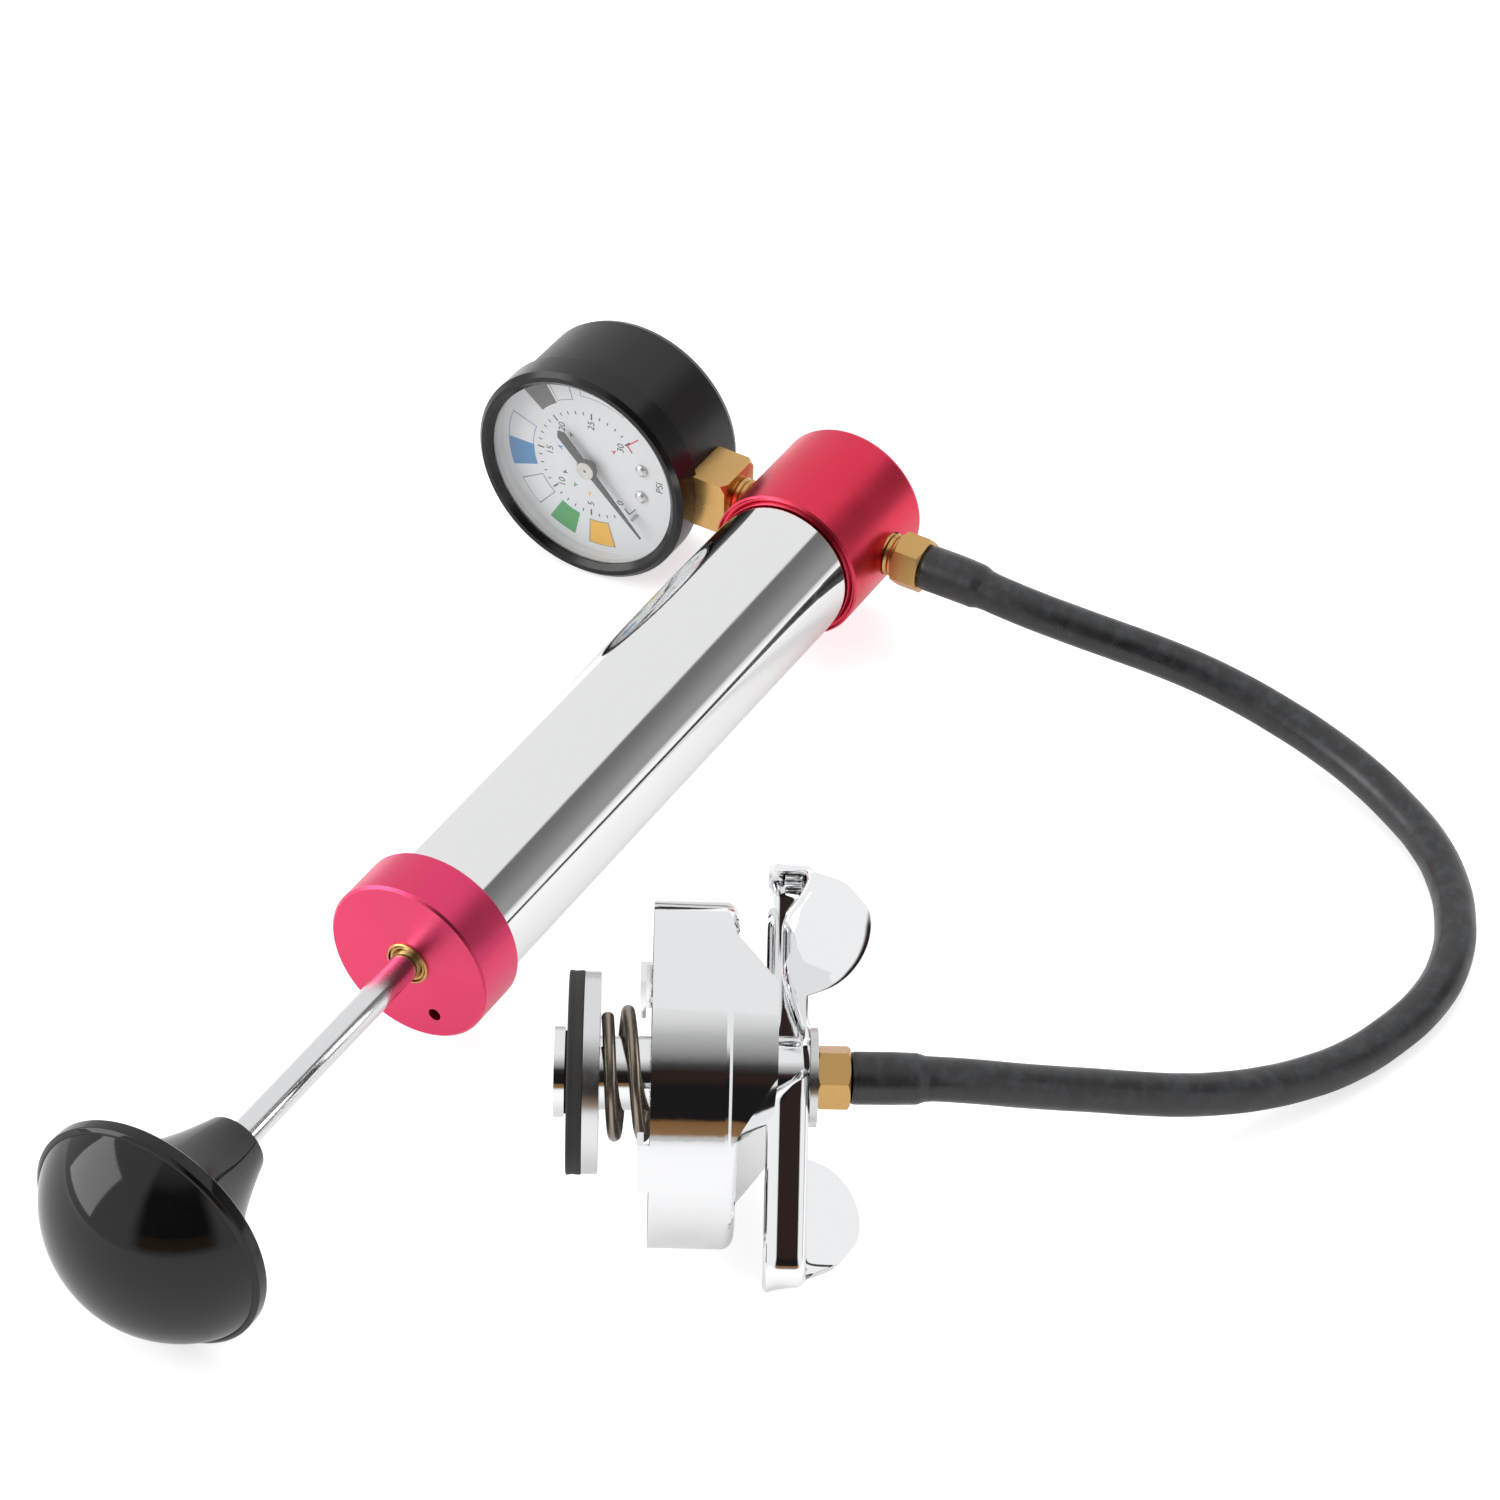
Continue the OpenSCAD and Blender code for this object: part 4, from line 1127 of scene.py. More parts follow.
@dataclass
class Gauge:
    """The gauge: its case and bezel, the printed dial under the lens, and the movement.

    Radii count from the dial's middle, and angles in degrees from the side of the stem. The scale
    starts at the angle zero and goes back by step for each value up to top, with a long mark and
    a figure at each multiple of every. The needle reaches as far as the two numbers in needle
    say, with its pointer and with its tail.
    """

    face_z: float = -6.0
    print_t: float = 0.03
    tick: tuple[float, float] = (12.25, 13.95)
    minor: tuple[float, float] = (12.95, 13.75)
    tick_w: tuple[float, float] = (0.36, 0.26)
    line_w: float = 0.16
    figures_r: float = 10.7
    figure_h: float = 1.7
    capital: float = 0.7
    unit: Point = (17.6, 0.6, 0.0)
    arrow_r: float = 8.3
    zero: float = 315.0
    step: float = 9.0
    top: int = 30
    every: int = 5
    needle: tuple[float, float] = (19.6, 9.6)
    needle_z: float = -4.35
    blocks: tuple[Block, ...] = (
        Block("block_grey", (16.2, 22.2), (123.5, 141.0), "grey"),
        Block("block_top", (16.6, 21.4), (106.5, 121.5), "white", "line"),
        Block("block_arc", (17.9, 21.2), (63.0, 99.0), "white", "line"),
        Block("block_red", (18.6, 19.9), (43.5, 60.0), "red"),
        Block("block_pale", (15.0, 21.5), (160.5, 181.0), "white", "blue"),
        Block("block_blue", (14.9, 21.5), (181.0, 200.5), "blue"),
        Block("block_left", (14.6, 20.8), (210.0, 230.0), "white", "line"),
        Block("block_green", (14.8, 21.1), (239.5, 258.5), "green"),
        Block("block_yellow", (15.0, 21.4), (268.5, 287.3), "yellow", "line"),
    )
    arrows: tuple[tuple[float, str], ...] = (
        (130.0, "black"), (167.0, "blue"), (214.0, "black"), (239.5, "green"), (267.0, "yellow"),
        (44.8, "red"))
    arrow_size: Point = (0.75, 0.55, 0.45)
    end_zero: tuple[tuple[float, float], ...] = ((13.7, 13.95), (315.0, 326.0))
    end_bar: tuple[tuple[float, float], ...] = ((12.6, 16.6), (43.3, 44.4))
    end_foot: tuple[tuple[float, float], ...] = ((12.6, 13.0), (35.0, 43.4))
    end_t: float = 0.048
    blade_t: float = 0.4
    hub_r: float = 2.5
    disc: tuple[Corner, ...] = (Corner(0, -3.3), Corner(2.15, -3.3), Corner(2.15, -3.1, 0.1),
                                Corner(0.5, -3.06), Corner(0.32, -3.12), Corner(0, -3.12))
    pin: tuple[Corner, ...] = (Corner(0, -3.3), Corner(0.34, -3.3), Corner(0.34, -3.06, 0.08),
                               Corner(0, -3.04))

    def _level(self) -> Matrix:
        """The dial's face as a matrix."""
        return GAUGE.matrix() @ Matrix.Translation((0, 0, self.face_z * MM))

    def _angle(self, value: float) -> float:
        """The angle in degrees at which the scale shows a value."""
        return self.zero - self.step * value

    def ticks(self) -> bpy.types.Object:
        """Makes the scale's marks, a bar at each value, and the arc at its zero.

        Returns:
            The marks as one piece.
        """
        marks = []
        for value in range(self.top + 1):
            main = value % self.every == 0
            near, far = self.tick if main else self.minor
            wide = self.tick_w[0 if main else 1]
            bpy.ops.object.select_all(action="DESELECT")
            bpy.ops.mesh.primitive_plane_add(size=MM)
            mark = bpy.context.object
            mark.scale = (far - near, wide, 1)
            mark.location = ((near + far) / 2 * MM, 0, 0)
            bpy.ops.object.transform_apply(location=True, rotation=True, scale=True)
            seat(mark, Matrix.Rotation(math.radians(self._angle(value)), 4, "Z"))
            marks.append(slab(mark, self.print_t))
        marks.append(flat_ring("end_zero", *self.end_zero, self.print_t))
        return seat(merged("dial_ticks", marks), self._level())

    def end_mark(self) -> bpy.types.Object:
        """Makes the red hook at the scale's upper end.

        Returns:
            The hook.
        """
        bar = flat_ring("end_bar", *self.end_bar, self.end_t)
        foot = flat_ring("end_foot", *self.end_foot, self.end_t)
        return seat(merged("dial_end_mark", [bar, foot]), self._level())

    def _text(self, words: str, at: Vector) -> bpy.types.Object:
        """Makes words that stand upright when the stem points down.

        Args:
            words: The words.
            at: Their middle in millimetres.

        Returns:
            The words as a thin mesh.
        """
        clear_selection()
        bpy.ops.object.text_add()
        text = bpy.context.object
        text.data.body = words
        text.data.size = self.figure_h / self.capital * MM
        text.data.align_x, text.data.align_y = "CENTER", "CENTER"
        bpy.ops.object.convert(target="MESH")
        turn = Matrix.Rotation(math.radians(90), 4, "Z")
        return slab(seat(bpy.context.object, Matrix.Translation(at * MM) @ turn), self.print_t)

    def figures(self) -> bpy.types.Object:
        """Makes the numbers 0 to 30, and the unit beside the screws.

        Returns:
            The lettering as one piece.
        """
        made = []
        for value in range(0, self.top + 1, self.every):
            angle = math.radians(self._angle(value))
            at = Vector((math.cos(angle), math.sin(angle), 0)) * self.figures_r
            made.append(self._text(str(value), at))
        made.append(self._text("PSI", Vector(self.unit)))
        return seat(merged("dial_figures", made), self._level())

    def printed_blocks(self, shop: Workshop) -> None:
        """Prints the coloured blocks, and a thin outline round those that have one.

        Args:
            shop: The workshop that finishes the pieces and hands them over.
        """
        for block in self.blocks:
            radii, span = block.radii, block.span
            if block.border:
                rim = flat_ring(block.name + "_line", radii, span, self.print_t)
                shop.fit(seat(rim, self._level()), "root", INKS[block.border])
                side = math.degrees(self.line_w / radii[0])
                radii = (radii[0] + self.line_w, radii[1] - self.line_w)
                span = (span[0] + side, span[1] - side)
            thick = self.print_t * (2 if block.border else 1)
            patch = flat_ring(block.name, radii, span, thick)
            shop.fit(seat(patch, self._level()), "root", INKS[block.fill])

    def arrow(self, angle: float, colour: str) -> bpy.types.Object:
        """Makes a small arrowhead that points outwards.

        Args:
            angle: The angle in degrees at which it stands.
            colour: Its ink's name.

        Returns:
            The arrowhead.
        """
        reach, half, notch = self.arrow_size
        outer, inner = self.arrow_r + reach, self.arrow_r - reach
        points = [(outer, 0), (inner, half), (inner + notch, 0), (inner, -half)]
        name = "arrow_" + colour + str(round(angle))
        return seat(flat_shape(name, points, angle, self.print_t), self._level())

    def pointer(self) -> bpy.types.Object:
        """Makes the needle: a long tapering pointer, a broad tail with a pointed end, and its hub.

        Returns:
            The needle.
        """
        tip, tail = self.needle
        points = [(tip, -0.12), (tip, 0.12), (2.0, 0.85), (0, 0.95), (-tail, 1.12),
                  (-tail - 1.1, 0), (-tail, -1.12), (0, -0.95), (2.0, -0.85)]
        z, r = self.needle_z, self.hub_r
        low = Matrix.Translation((0, 0, z * MM))
        blade = seat(flat_shape("needle_blade", points, self.zero, self.blade_t), GAUGE.matrix() @ low)
        hub = turned("needle_hub", outline([
            Corner(0, z - 0.01), Corner(r, z - 0.01), Corner(r, z + 0.5, 0.12),
            Corner(r - 0.25, z + 0.95, 0.2), Corner(0, z + 0.95)], 4), GAUGE, 48)
        return merged("needle_pointer", [blade, hub])

    def hub(self) -> bpy.types.Object:
        """The bright disc on the needle's hub."""
        return turned("hub_disc", outline(list(self.disc), 4), GAUGE, 48)

    def hub_pin(self) -> bpy.types.Object:
        """The small dark stud in the middle of the hub's disc."""
        return turned("hub_pin", outline(list(self.pin), 3), GAUGE, 24)

    def build(self, shop: Workshop) -> None:
        """Builds the print, the needle and the hub's disc, and dresses the rest.

        Args:
            shop: The workshop that finishes the pieces and hands them over.
        """
        shop.fit(self.ticks(), "root", INKS["black"])
        shop.fit(self.end_mark(), "root", INKS["red"])
        shop.fit(self.figures(), "root", INKS["black"])
        self.printed_blocks(shop)
        for angle, colour in self.arrows:
            shop.fit(self.arrow(angle, colour), "root", INKS[colour])
        shop.fit(self.pointer(), "needle", NEEDLE_GREY, GAUGE, ("needle",))
        shop.fit(self.hub(), "needle", HUB_SILVER, GAUGE)
        shop.fit(self.hub_pin(), "needle", NEEDLE_GREY, GAUGE)
        shop.dress(BEZEL_BLACK, GAUGE, "gauge_bezel")
        shop.dress(CASE_BLACK, GAUGE, "gauge_case")
        shop.dress(DIAL_CARD, GAUGE, "gauge_dial")
        shop.dress(PALE_TRIM, GAUGE, "lens_gasket")
        # The dial screws take plated steel painted darker, as painted shade.
        shop.dress(SHADED_SCREW_STEEL, GAUGE, "dial_screws", "stop_pin", "pinion_shaft")
        shop.dress(BRASS, GAUGE, "sector_gear", "sector_link", "movement_plates", "bourdon_tube")
        shop.dress(BRASS, STEM, "gauge_stem", "head_fitting")
        shop.coat(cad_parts["gauge_lens"], glass())


@dataclass
class Hose:
    """The rubber hose from the head to the adapter, lying on the ground in its middle.

    At each end it swells to the diameter swell over a barbed tail, for the length sleeve.
    """

    diameter: float = 8.5
    swell: float = 10.0
    sleeve: float = 16.0
    route: tuple[Point, ...] = (
        (126, -11.493, 24.38), (126, -22, 24.2), (125.8, -30, 23.5), (126.6, -39, 22.2),
        (128.4, -47.6, 20.4), (130.6, -56.2, 18.4), (132.8, -65, 16.3), (134.5, -74, 14.1),
        (135.2, -83, 12), (134.8, -92.6, 10), (133.2, -103, 8.2), (130, -114, 6.6),
        (124.8, -125, 5.4), (118.4, -134.6, 4.8), (110, -142.8, 4.4), (99.6, -149.2, 4.4),
        (88, -153.4, 4.4), (74.6, -154.6, 4.4), (60.4, -152, 4.4), (49, -148.2, 5),
        (39.4, -143.4, 6.3), (30.6, -138.4, 8.5), (22.6, -133.2, 11.2), (15.4, -128, 14.2),
        (8.8, -122.6, 17.4), (2.4, -117.2, 20.8), (-4, -111.6, 24), (-10.2, -106.2, 27.2),
        (-16, -100.6, 30.2), (-21.4, -94.8, 32.6), (-31.230, -80.945, 34.277))
    length: float = 315.0

    def _path(self) -> list[tuple[Vector, float]]:
        """Works out the hose's points, with extra ones where its ends swell.

        Returns:
            Each point in millimetres, and the hose's radius at it.
        """
        points = [Vector(p) for p in self.route]
        thick, thin = self.swell / 2, self.diameter / 2
        shape = ((0.0, thick - 0.25), (0.8, thick), (8.0, thick), (12.6, thick - 0.1),
                 (14.4, thin + 0.1), (self.sleeve, thin))
        made = []
        for order in (1, -1):
            line = points[::order]
            legs = [(b - a).length for a, b in zip(line, line[1:])]
            end = []
            for far, radius in shape:
                left, index = far, 0
                while left > legs[index]:
                    left -= legs[index]
                    index += 1
                end.append((line[index].lerp(line[index + 1], left / legs[index]), radius))
            made.append(end)
        start, finish = made
        first, last = start[0][0], finish[0][0]
        clear = self.sleeve + 2
        middle = [(p, thin) for p in points if min((p - first).length, (p - last).length) > clear]
        return start + middle + finish[::-1]

    def build(self, shop: Workshop) -> None:
        """Args:
            shop: The workshop that finishes the pieces and hands them over.
        """
        clear_selection()
        data = bpy.data.curves.new("hose_rubber_tube", "CURVE")
        data.dimensions = "3D"
        path = self._path()
        spline = data.splines.new("BEZIER")
        spline.bezier_points.add(len(path) - 1)
        for knot, (point, radius) in zip(spline.bezier_points, path):
            knot.co = point * MM
            knot.radius = radius * MM
            knot.handle_left_type = knot.handle_right_type = "AUTO"
        data.bevel_depth = 1.0
        data.bevel_resolution = 12
        data.resolution_u = 8
        data.use_fill_caps = True
        tube = add_object("hose_rubber_tube", data)
        shop.fit(tube, "root", HOSE_RUBBER, None, ("hose",))


@dataclass
class Adapter:
    """The filler-neck adapter: spindle, seal, spring, chromed cap and wing.

    The wing is a pressed sheet, as long and as wide as wing says. Its flat web lies at the height
    web and ends by brim inside its rim. What the sheet does there depends on the way along the
    rim, from the middle of its +y side. Before turn_at it folds down into a wall, wall_h high.
    Between the two ways in lobe it rises into a finger lobe, lobe_h high, at the angle stand,
    with a gutter at its foot. After the lobe it folds down again. The wall's raw edge curls back
    by the angle lip, and the folds between the two ways in ease_span are smoothed.
    """

    coil: Coil = Coil("spring_coil", 2.4, 26.0, 3.8, -16.25, 20.4, 1.7, 165.0)
    press: float = 6.0
    seal_r: float = 19.3
    seal_z: tuple[float, float] = (-23.6, -20.6)
    wing: tuple[float, float] = (79.0, 17.0)
    wing_turn: float = 43.0
    web: float = 21.0
    sheet: float = 1.2
    corner: float = 3.9
    brim: float = 1.9
    slope: float = 3.5
    wall_h: float = 7.4
    wall_from: float = 7.0
    turn_at: float = 2.2
    lobe: tuple[float, float] = (15.5, 37.6)
    lobe_h: float = 11.2
    gutter: float = 4.6
    lean: float = 0.6
    bend_r: float = 1.1
    foot_r: float = 3.2
    stand: float = 72.0
    lip: float = 34.0
    eased: int = 14
    ease_span: tuple[float, float] = (30.0, 47.0)
    ease_over: float = 5.0
    gutter_ease: tuple[float, float] = (19.0, 11.0)
    gutter_past: float = 0.6
    skew: float = 1.15
    fullness: float = 0.9
    wall_to: float = 5.0
    bore_r: float = 7.1
    recess_r: float = 8.95
    edge_round: float = 0.16
    rim_per_mm: float = 1.5
    corner_steps: int = 18
    slope_steps: int = 4
    sheet_steps: int = 12
    full_at: float = 2.6
    lip_from: float = 0.6
    lip_over: float = 0.3

    def seal(self) -> bpy.types.Object:
        """Turns the rubber seal, with softened and slightly curled edges and a recess for the flange.

        Returns:
            The seal.
        """
        low, high = self.seal_z
        r, inner, recess = self.seal_r, self.bore_r, self.recess_r
        profile = outline([
            Corner(inner, high), Corner(r - 0.1, high, 0.35), Corner(r - 0.25, low + 1.2, 2.0),
            Corner(r, low, 0.4), Corner(r - 2.2, low + 0.12, 1.2), Corner(recess, low + 0.08, 0.1),
            Corner(recess, low + 0.3), Corner(inner, low + 0.3), Corner(inner, high)], 5)
        return turned("seal_ring", profile, ADAPTER, 96, 40.0)

    def _edge(self, run: float) -> tuple[float, float]:
        """How high the sheet's raw edge stands over the web, and how deep its gutter is.

        Args:
            run: The way in millimetres along the wing's rim, from the middle of its +y side.

        Returns:
            The edge's height, negative for a wall, and the gutter's depth at the lobe's foot.
        """
        start, stop = self.lobe
        if run <= self.turn_at:
            return -self.wall_h * _smooth((self.turn_at - run) / self.wall_from), 0.0
        rise, fall = self.gutter_ease
        opening = _smooth((run - self.turn_at) / rise)
        gutter = self.gutter * opening * _smooth((stop + self.gutter_past - run) / fall)
        if run < start:
            return 0.0, gutter
        if run < stop:
            swing = math.acos(1 - 2 * ((run - start) / (stop - start)) ** self.skew)
            return self.lobe_h * math.sin(swing) ** self.fullness, gutter
        return -self.wall_h * _smooth((run - stop) / self.wall_to), gutter

    def _rim(self) -> list[tuple[float, Vector, Vector]]:
        """Draws half of the line at which the web ends.

        Returns:
            For each of its points, the way along the line, the point and the direction outwards.
        """
        half, wide, corner = self.wing[0] / 2 - self.brim, self.wing[1] / 2 - self.brim, self.corner
        side, end, arc = half - corner, wide - corner, corner * math.pi / 2
        count, steps = round(side * self.rim_per_mm), self.corner_steps
        runs = [side * i / count for i in range(-count, count)]
        made = [(x, Vector((x, wide)), Vector((0, 1))) for x in runs]
        for sign, run in ((1, side), (-1, side + arc + 2 * end)):
            for i in range(steps + 1):
                angle = (math.pi / 2 if sign > 0 else 0.0) - math.pi / 2 * i / steps
                out = Vector((math.cos(angle), math.sin(angle)))
                made.append((run + arc * i / steps, Vector((side, sign * end)) + out * corner, out))
        return made

    def _section(self, run: float) -> list[tuple[float, float]]:
        """Works out the sheet's section, outwards from the web's edge.

        Args:
            run: The way in millimetres along the wing's rim.

        Returns:
            The section's points: the way out, and the height over the web.
        """
        edge, gutter = self._edge(run)
        lobe = edge >= 0
        size = edge + gutter if lobe else -edge
        radius, stand = (self.foot_r, self.stand) if lobe else (self.bend_r, 90.0)
        most = math.radians(stand) * _smooth(size / self.full_at)
        rest = max(0.0, size - radius * (1 - math.cos(most))) / max(0.3, math.sin(most))
        length = max(self.brim, radius * most + rest)
        out, up, steps = 0.0, -gutter, self.sheet_steps
        shares = [i / self.slope_steps for i in range(self.slope_steps)]
        section = [(-self.slope * (1 - share), -gutter * _smooth(share)) for share in shares]
        section.append((0.0, -gutter))
        for i in range(steps):
            way = length * (i + 0.5) / steps
            lean = most * min(1.0, way / max(0.1, radius * most))
            if not lobe:
                curl = _smooth((way / length - self.lip_from) / self.lip_over) * min(1.0, size / 5)
                lean -= math.radians(self.lip) * curl
            out += length / steps * math.cos(lean)
            up += length / steps * math.sin(lean) * (1 if lobe else -1)
            section.append((out, up))
        return section

    def wing_sheet(self) -> bpy.types.Object:
        """Presses the wing: a wall round two corners of its rim, a finger lobe at the other two.

        Returns:
            The wing.
        """
        limit = self.wing[0] / 2 - self.brim - self.corner
        near, far = self.ease_span
        rows, soft = [], []
        for run, foot, away in self._rim():
            soft.append(_smooth((run - near) / self.ease_over) * _smooth((far - run) / self.ease_over))
            edge = max(0.0, self._edge(run)[0])
            slip = self.lean * edge / self.lobe_h
            away = away.lerp(Vector((0, 1)), _smooth(edge / 3.0))
            section = self._section(run)
            row = [(max(-limit, min(limit, foot.x)), 0.0, self.web)]
            for index, (out, up) in enumerate(section):
                point = foot + away * out
                shift = slip * max(0.0, index - self.slope_steps) / self.sheet_steps
                row.append((point.x + shift, point.y, self.web + up))
            rows.append(row)
        rows += [[(-x, -y, u) for x, y, u in row] for row in rows]
        rows.append(rows[0])
        clear_selection()
        bpy.ops.mesh.primitive_grid_add(
            x_subdivisions=len(rows[0]) - 1, y_subdivisions=len(rows) - 1, size=MM)
        wing = bpy.context.object
        wing.name = "wing_sheet"
        for vertex, point in zip(wing.data.vertices, [p for row in rows for p in row]):
            vertex.co = Vector(point) * MM
        corners = wing.vertex_groups.new(name="corners")
        for index in range(len(wing.data.vertices)):
            row, column = divmod(index, len(rows[0]))
            if column > 1:
                corners.add([index], soft[row % len(soft)], "REPLACE")
        close_up(wing, 60.0)
        modify(wing, "SMOOTH", factor=0.5, iterations=self.eased, vertex_group="corners")
        modify(wing, "SOLIDIFY", thickness=self.sheet * MM, offset=0.0)
        clear_selection()
        bpy.ops.mesh.primitive_cylinder_add(
            vertices=64, radius=self.bore_r * MM, depth=6 * MM, location=(0, 0, self.web * MM))
        punch = bpy.context.object
        modify(wing, "BOOLEAN", object=punch, operation="DIFFERENCE", solver="EXACT")
        bpy.data.objects.remove(punch)
        modify(wing, "BEVEL", width=self.edge_round * MM, segments=2, limit_method="ANGLE",
               angle_limit=math.radians(55))
        pick(wing)
        bpy.ops.object.shade_smooth_by_angle(angle=math.radians(40))
        turn = Matrix.Rotation(math.radians(180 - self.wing_turn), 4, "Z")
        return seat(wing, ADAPTER.matrix() @ turn)

    def build(self, shop: Workshop) -> None:
        """Builds the spring, the seal and the wing, and dresses the rest.

        Args:
            shop: The workshop that finishes the pieces and hands them over.
        """
        coil = shop.fit(self.coil.build(ADAPTER), "root", SPRING, ADAPTER, ("cap_spring",))
        self.coil.squash(coil, ADAPTER, "cap_press", self.press, self.coil.low - self.coil.wire / 2)
        shop.fit(self.seal(), "root", RUBBER, ADAPTER, ("rubber_seal",))
        shop.fit(self.wing_sheet(), "cap", WING_CHROME, ADAPTER, ("wing_handle",))
        shop.dress(CHROME, ADAPTER, "cap_shell", "wing_sleeve", "spindle_flange", "spindle")
        shop.dress(PLATED, ADAPTER, "thrust_washer", "spring_seat")
        shop.dress(ALUMINIUM, ADAPTER, "seal_plate")
        shop.dress(RUBBER, ADAPTER, "flange_washer")
        shop.dress(BRASS, ADAPTER, "adapter_fitting")


# ---------------------------------------------------------------- the studio


@dataclass(frozen=True)
class Lamp:
    """A square lamp: the way to it, its distance and size in metres, and whether metal mirrors it."""

    name: str
    way: Point
    far: float
    size: float
    power: float
    mirrored: bool = True


@dataclass
class Studio:
    """Camera, floor, lamps and the pale room that the metal mirrors."""

    eye: Point = (-0.6260, -0.4065, 0.6732)
    tilt: float = 50.48
    pan: float = -59.72
    lens: float = 118.86
    floor_size: float = 4.0
    floor_drop: float = 0.0002
    camera_side: Point = (-0.8636, -0.5042, 0.0)
    dark_side: Point = (0.67, -0.74, 0.0)
    lights: tuple[Lamp, ...] = (
        Lamp("softbox", (-0.533, 0.766, 0.42), 1.3, 0.88, 7.5),
        Lamp("overhead", (0.25, 0.1, 1.0), 1.4, 1.1, 7.0, False))
    paper: float = 0.86
    paper_lift: float = 0.62
    paper_shine: float = 0.25
    front_wide: tuple[float, float] = (24, 38)
    side_wide: tuple[float, float] = (20, 27)
    side_top: tuple[float, float] = (0.625, 0.595)
    side_foot: tuple[float, float] = (-0.02, 0.05)
    white: Colour = (0.90, 0.905, 0.91)
    plain: Colour = (0.60, 0.60, 0.605)
    front_grade: tuple[tuple[float, Colour], ...] = (
        (0.0, (0.60, 0.60, 0.60)), (0.03, (0.50, 0.47, 0.44)), (0.06, (0.27, 0.155, 0.075)),
        (0.20, (0.22, 0.115, 0.045)), (0.24, (0.012, 0.011, 0.011)), (0.58, (0.012, 0.011, 0.011)),
        (0.65, (0.030, 0.017, 0.014)), (0.71, (0.026, 0.018, 0.016)), (0.76, (0.06, 0.06, 0.06)),
        (0.84, (0.30, 0.30, 0.30)), (0.93, (0.50, 0.50, 0.50)), (1.0, (0.86, 0.86, 0.86)))

    def camera(self) -> None:
        """Sets the camera at the photograph's angle."""
        data = bpy.data.cameras.new("camera")
        data.lens = self.lens
        data.sensor_width = 36.0
        data.clip_start, data.clip_end = 0.01, 50.0
        cam = add_object("camera", data)
        cam.location = self.eye
        cam.rotation_euler = (math.radians(self.tilt), 0, math.radians(self.pan))
        bpy.context.scene.camera = cam

    def floor(self) -> None:
        """Lays the pale floor, which reads as white but keeps the object's shadow."""
        clear_selection()
        bpy.ops.mesh.primitive_plane_add(size=self.floor_size, location=(0, 0, -self.floor_drop))
        plane = bpy.context.object
        plane.name = "floor"
        mat, g, paper = new_material("floor_paper", {
            "Base Color": (self.paper, self.paper, self.paper, 1), "Roughness": 0.9,
            "Specular IOR Level": 0.0})
        path = g.add("LightPath")
        seen = g.math("MAXIMUM", path.outputs["Is Camera Ray"], path.outputs["Is Transmission Ray"])
        bright = g.add("Emission")
        bright.inputs["Color"].default_value = (1, 1, 1, 1)
        shine = g.math("MULTIPLY", path.outputs["Is Glossy Ray"], self.paper_shine)
        strength = g.math("ADD", g.math("MULTIPLY", seen, self.paper_lift), shine)
        g.join(strength, bright.inputs["Strength"])
        both = g.add("AddShader")
        g.join(paper.outputs[0], both.inputs[0])
        g.join(bright.outputs[0], both.inputs[1])
        surface(mat, both)
        plane.data.materials.append(mat)

    def _sector(self, g: Graph, way: bpy.types.NodeSocket, side: Point,
                wide: tuple[float, float]) -> bpy.types.NodeSocket:
        """Masks the directions that lie to one side.

        Args:
            g: The graph to build in.
            way: The direction that is looked at.
            side: The side's middle.
            wide: The angles in degrees from it to which the mask is full, and at which it ends.

        Returns:
            The mask: 1 inside, 0 outside.
        """
        level = g.vector("NORMALIZE", g.vector("MULTIPLY", way, (1, 1, 0)))
        towards = g.vector("DOT_PRODUCT", level, tuple(Vector(side).normalized()), out=1)
        return g.ease(towards, math.cos(math.radians(wide[1])), math.cos(math.radians(wide[0])))

    def _front_grade(self, g: Graph, height: bpy.types.NodeSocket) -> bpy.types.NodeSocket:
        """Colours what stands behind the camera: a table's edge, dark, then the ceiling.

        Args:
            g: The graph to build in.
            height: The sine of the direction's height.

        Returns:
            The colour.
        """
        ramp = g.add("ValToRGB")
        elements = ramp.color_ramp.elements
        for index, (at, colour) in enumerate(self.front_grade):
            stop = elements[index] if index < 2 else elements.new(at)
            stop.position = at
            stop.color = (*colour, 1.0)
        g.join(height, ramp.inputs[0])
        return ramp.outputs[0]

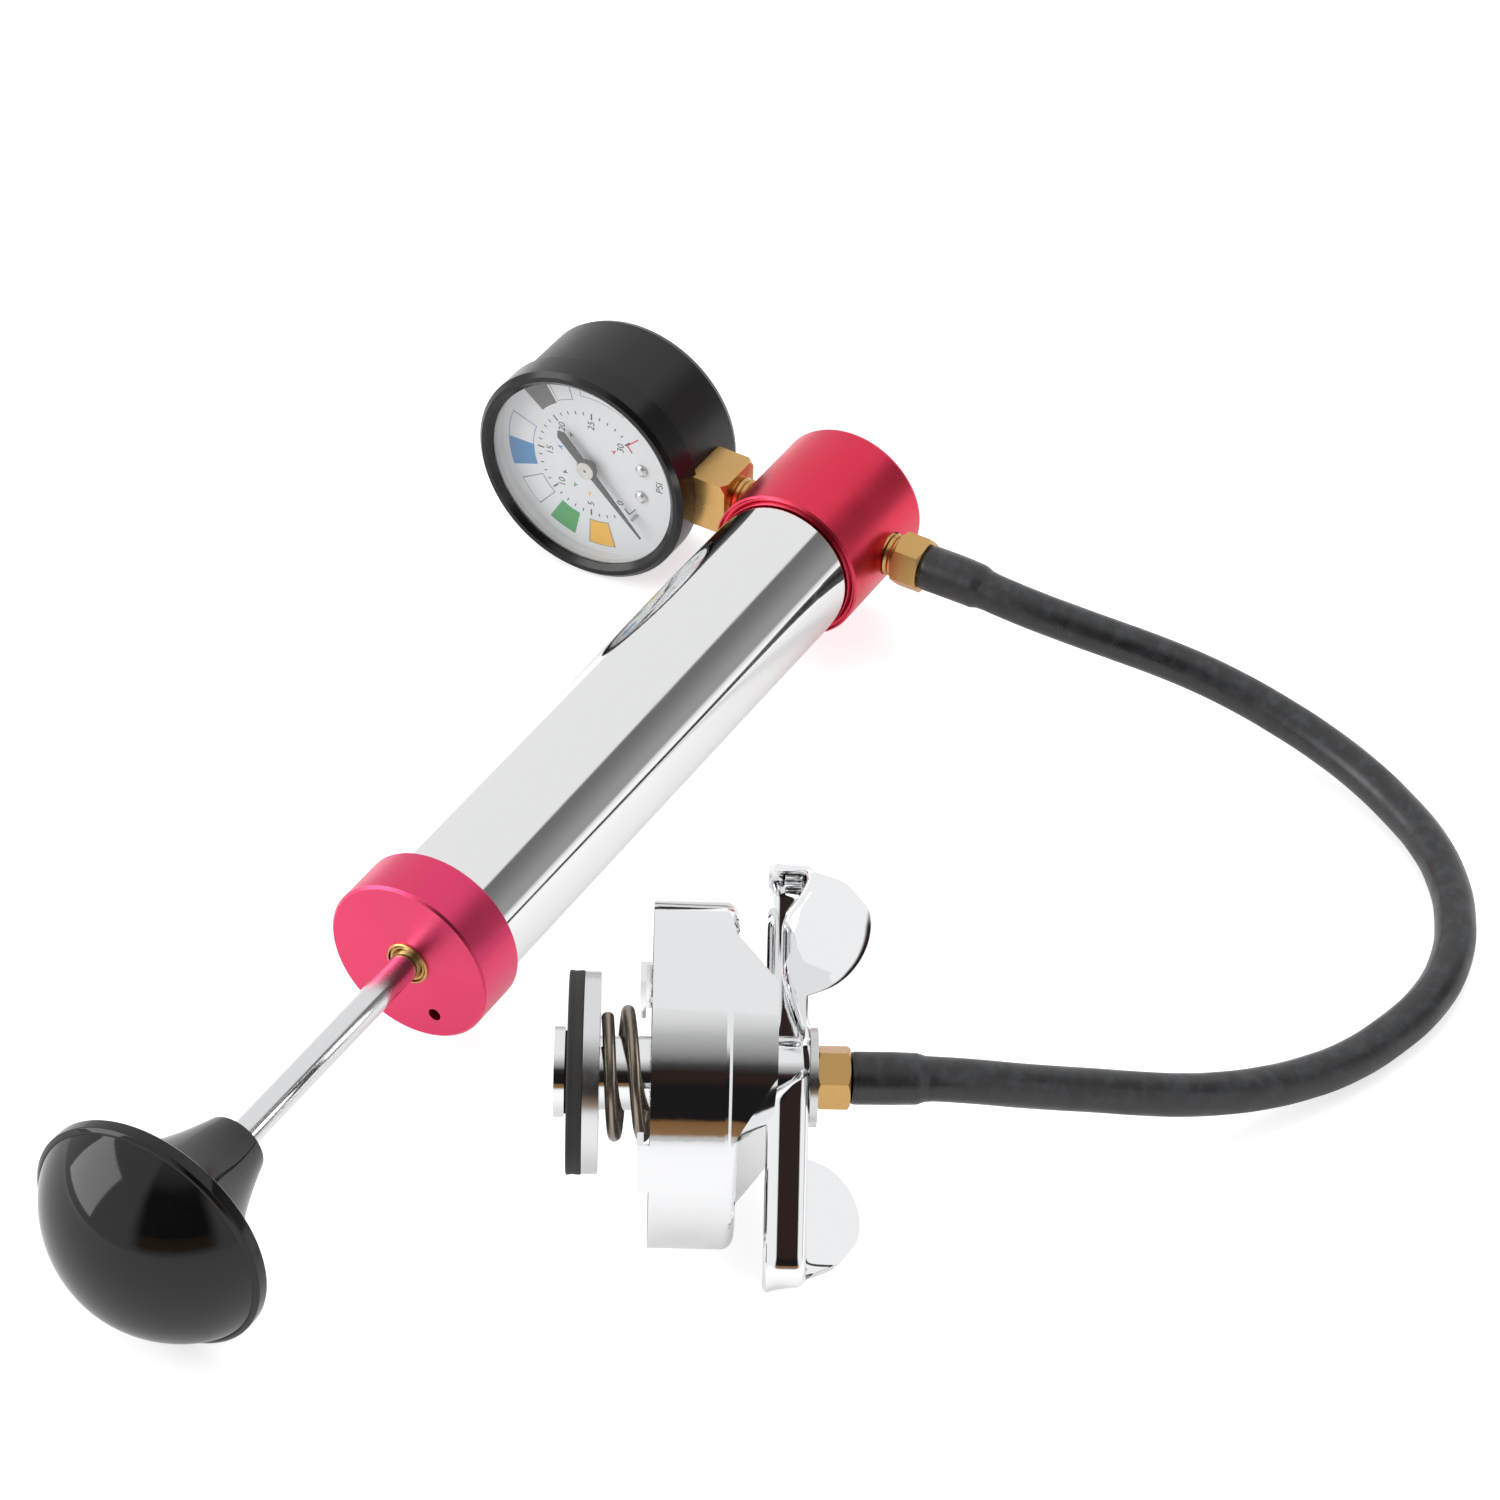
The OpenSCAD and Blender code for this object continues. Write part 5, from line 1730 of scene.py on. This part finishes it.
    def room(self) -> None:
        """The room: even and pale for matt surfaces, with two dark sides for what mirrors it."""
        world = bpy.data.worlds.new("room")
        bpy.context.scene.world = world
        world.use_nodes = True
        g = Graph(world.node_tree)
        way = g.vector("NORMALIZE", g.add("TexCoord").outputs["Generated"])
        height = g.split(way)[2]
        front = self._sector(g, way, self.camera_side, self.front_wide)
        side = self._sector(g, way, self.dark_side, self.side_wide)
        side = g.math("MULTIPLY", side, g.ease(height, *self.side_top))
        side = g.math("MULTIPLY", side, g.ease(height, *self.side_foot))
        grey = g.ease(height, 0.60, 0.10, (0.17, 0.34))
        mirrored = g.blend(side, self.white, g.pack(grey, grey, grey))
        mirrored = g.blend(front, mirrored, self._front_grade(g, height))
        path = g.add("LightPath")
        shiny = g.math("MAXIMUM", path.outputs["Is Glossy Ray"], path.outputs["Is Transmission Ray"])
        light = g.blend(shiny, self.plain, mirrored)
        light = g.blend(path.outputs["Is Camera Ray"], light, (1.0, 1.0, 1.0))
        back = world.node_tree.nodes["Background"]
        g.join(light, back.inputs["Color"])
        back.inputs["Strength"].default_value = 1.0
        world.cycles.sampling_method = "NONE"

    def lamps(self) -> None:
        """One softbox at the left, and a broad weak one overhead."""
        for light in self.lights:
            data = bpy.data.lights.new(light.name, "AREA")
            data.shape = "SQUARE"
            data.size = light.size
            data.energy = light.power
            lamp = add_object(light.name, data)
            at = Vector(light.way).normalized()
            lamp.location = at * light.far
            lamp.rotation_euler = at.to_track_quat("Z", "Y").to_euler()
            lamp.visible_glossy = light.mirrored

    def build(self) -> None:
        """Sets the whole studio."""
        bpy.context.scene.view_settings.view_transform = "Standard"
        self.camera()
        self.floor()
        self.room()
        self.lamps()


def main() -> None:
    """Builds the studio and every sub-assembly."""
    logging.basicConfig(level=logging.INFO, format="%(message)s")
    Studio().build()
    shop = Workshop()
    for part in (Hose(), Pump(), Gauge(), Adapter()):
        part.build(shop)
        LOG.info("%s done", type(part).__name__)
    clear_selection()
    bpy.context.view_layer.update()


if __name__ == "__main__":
    main()
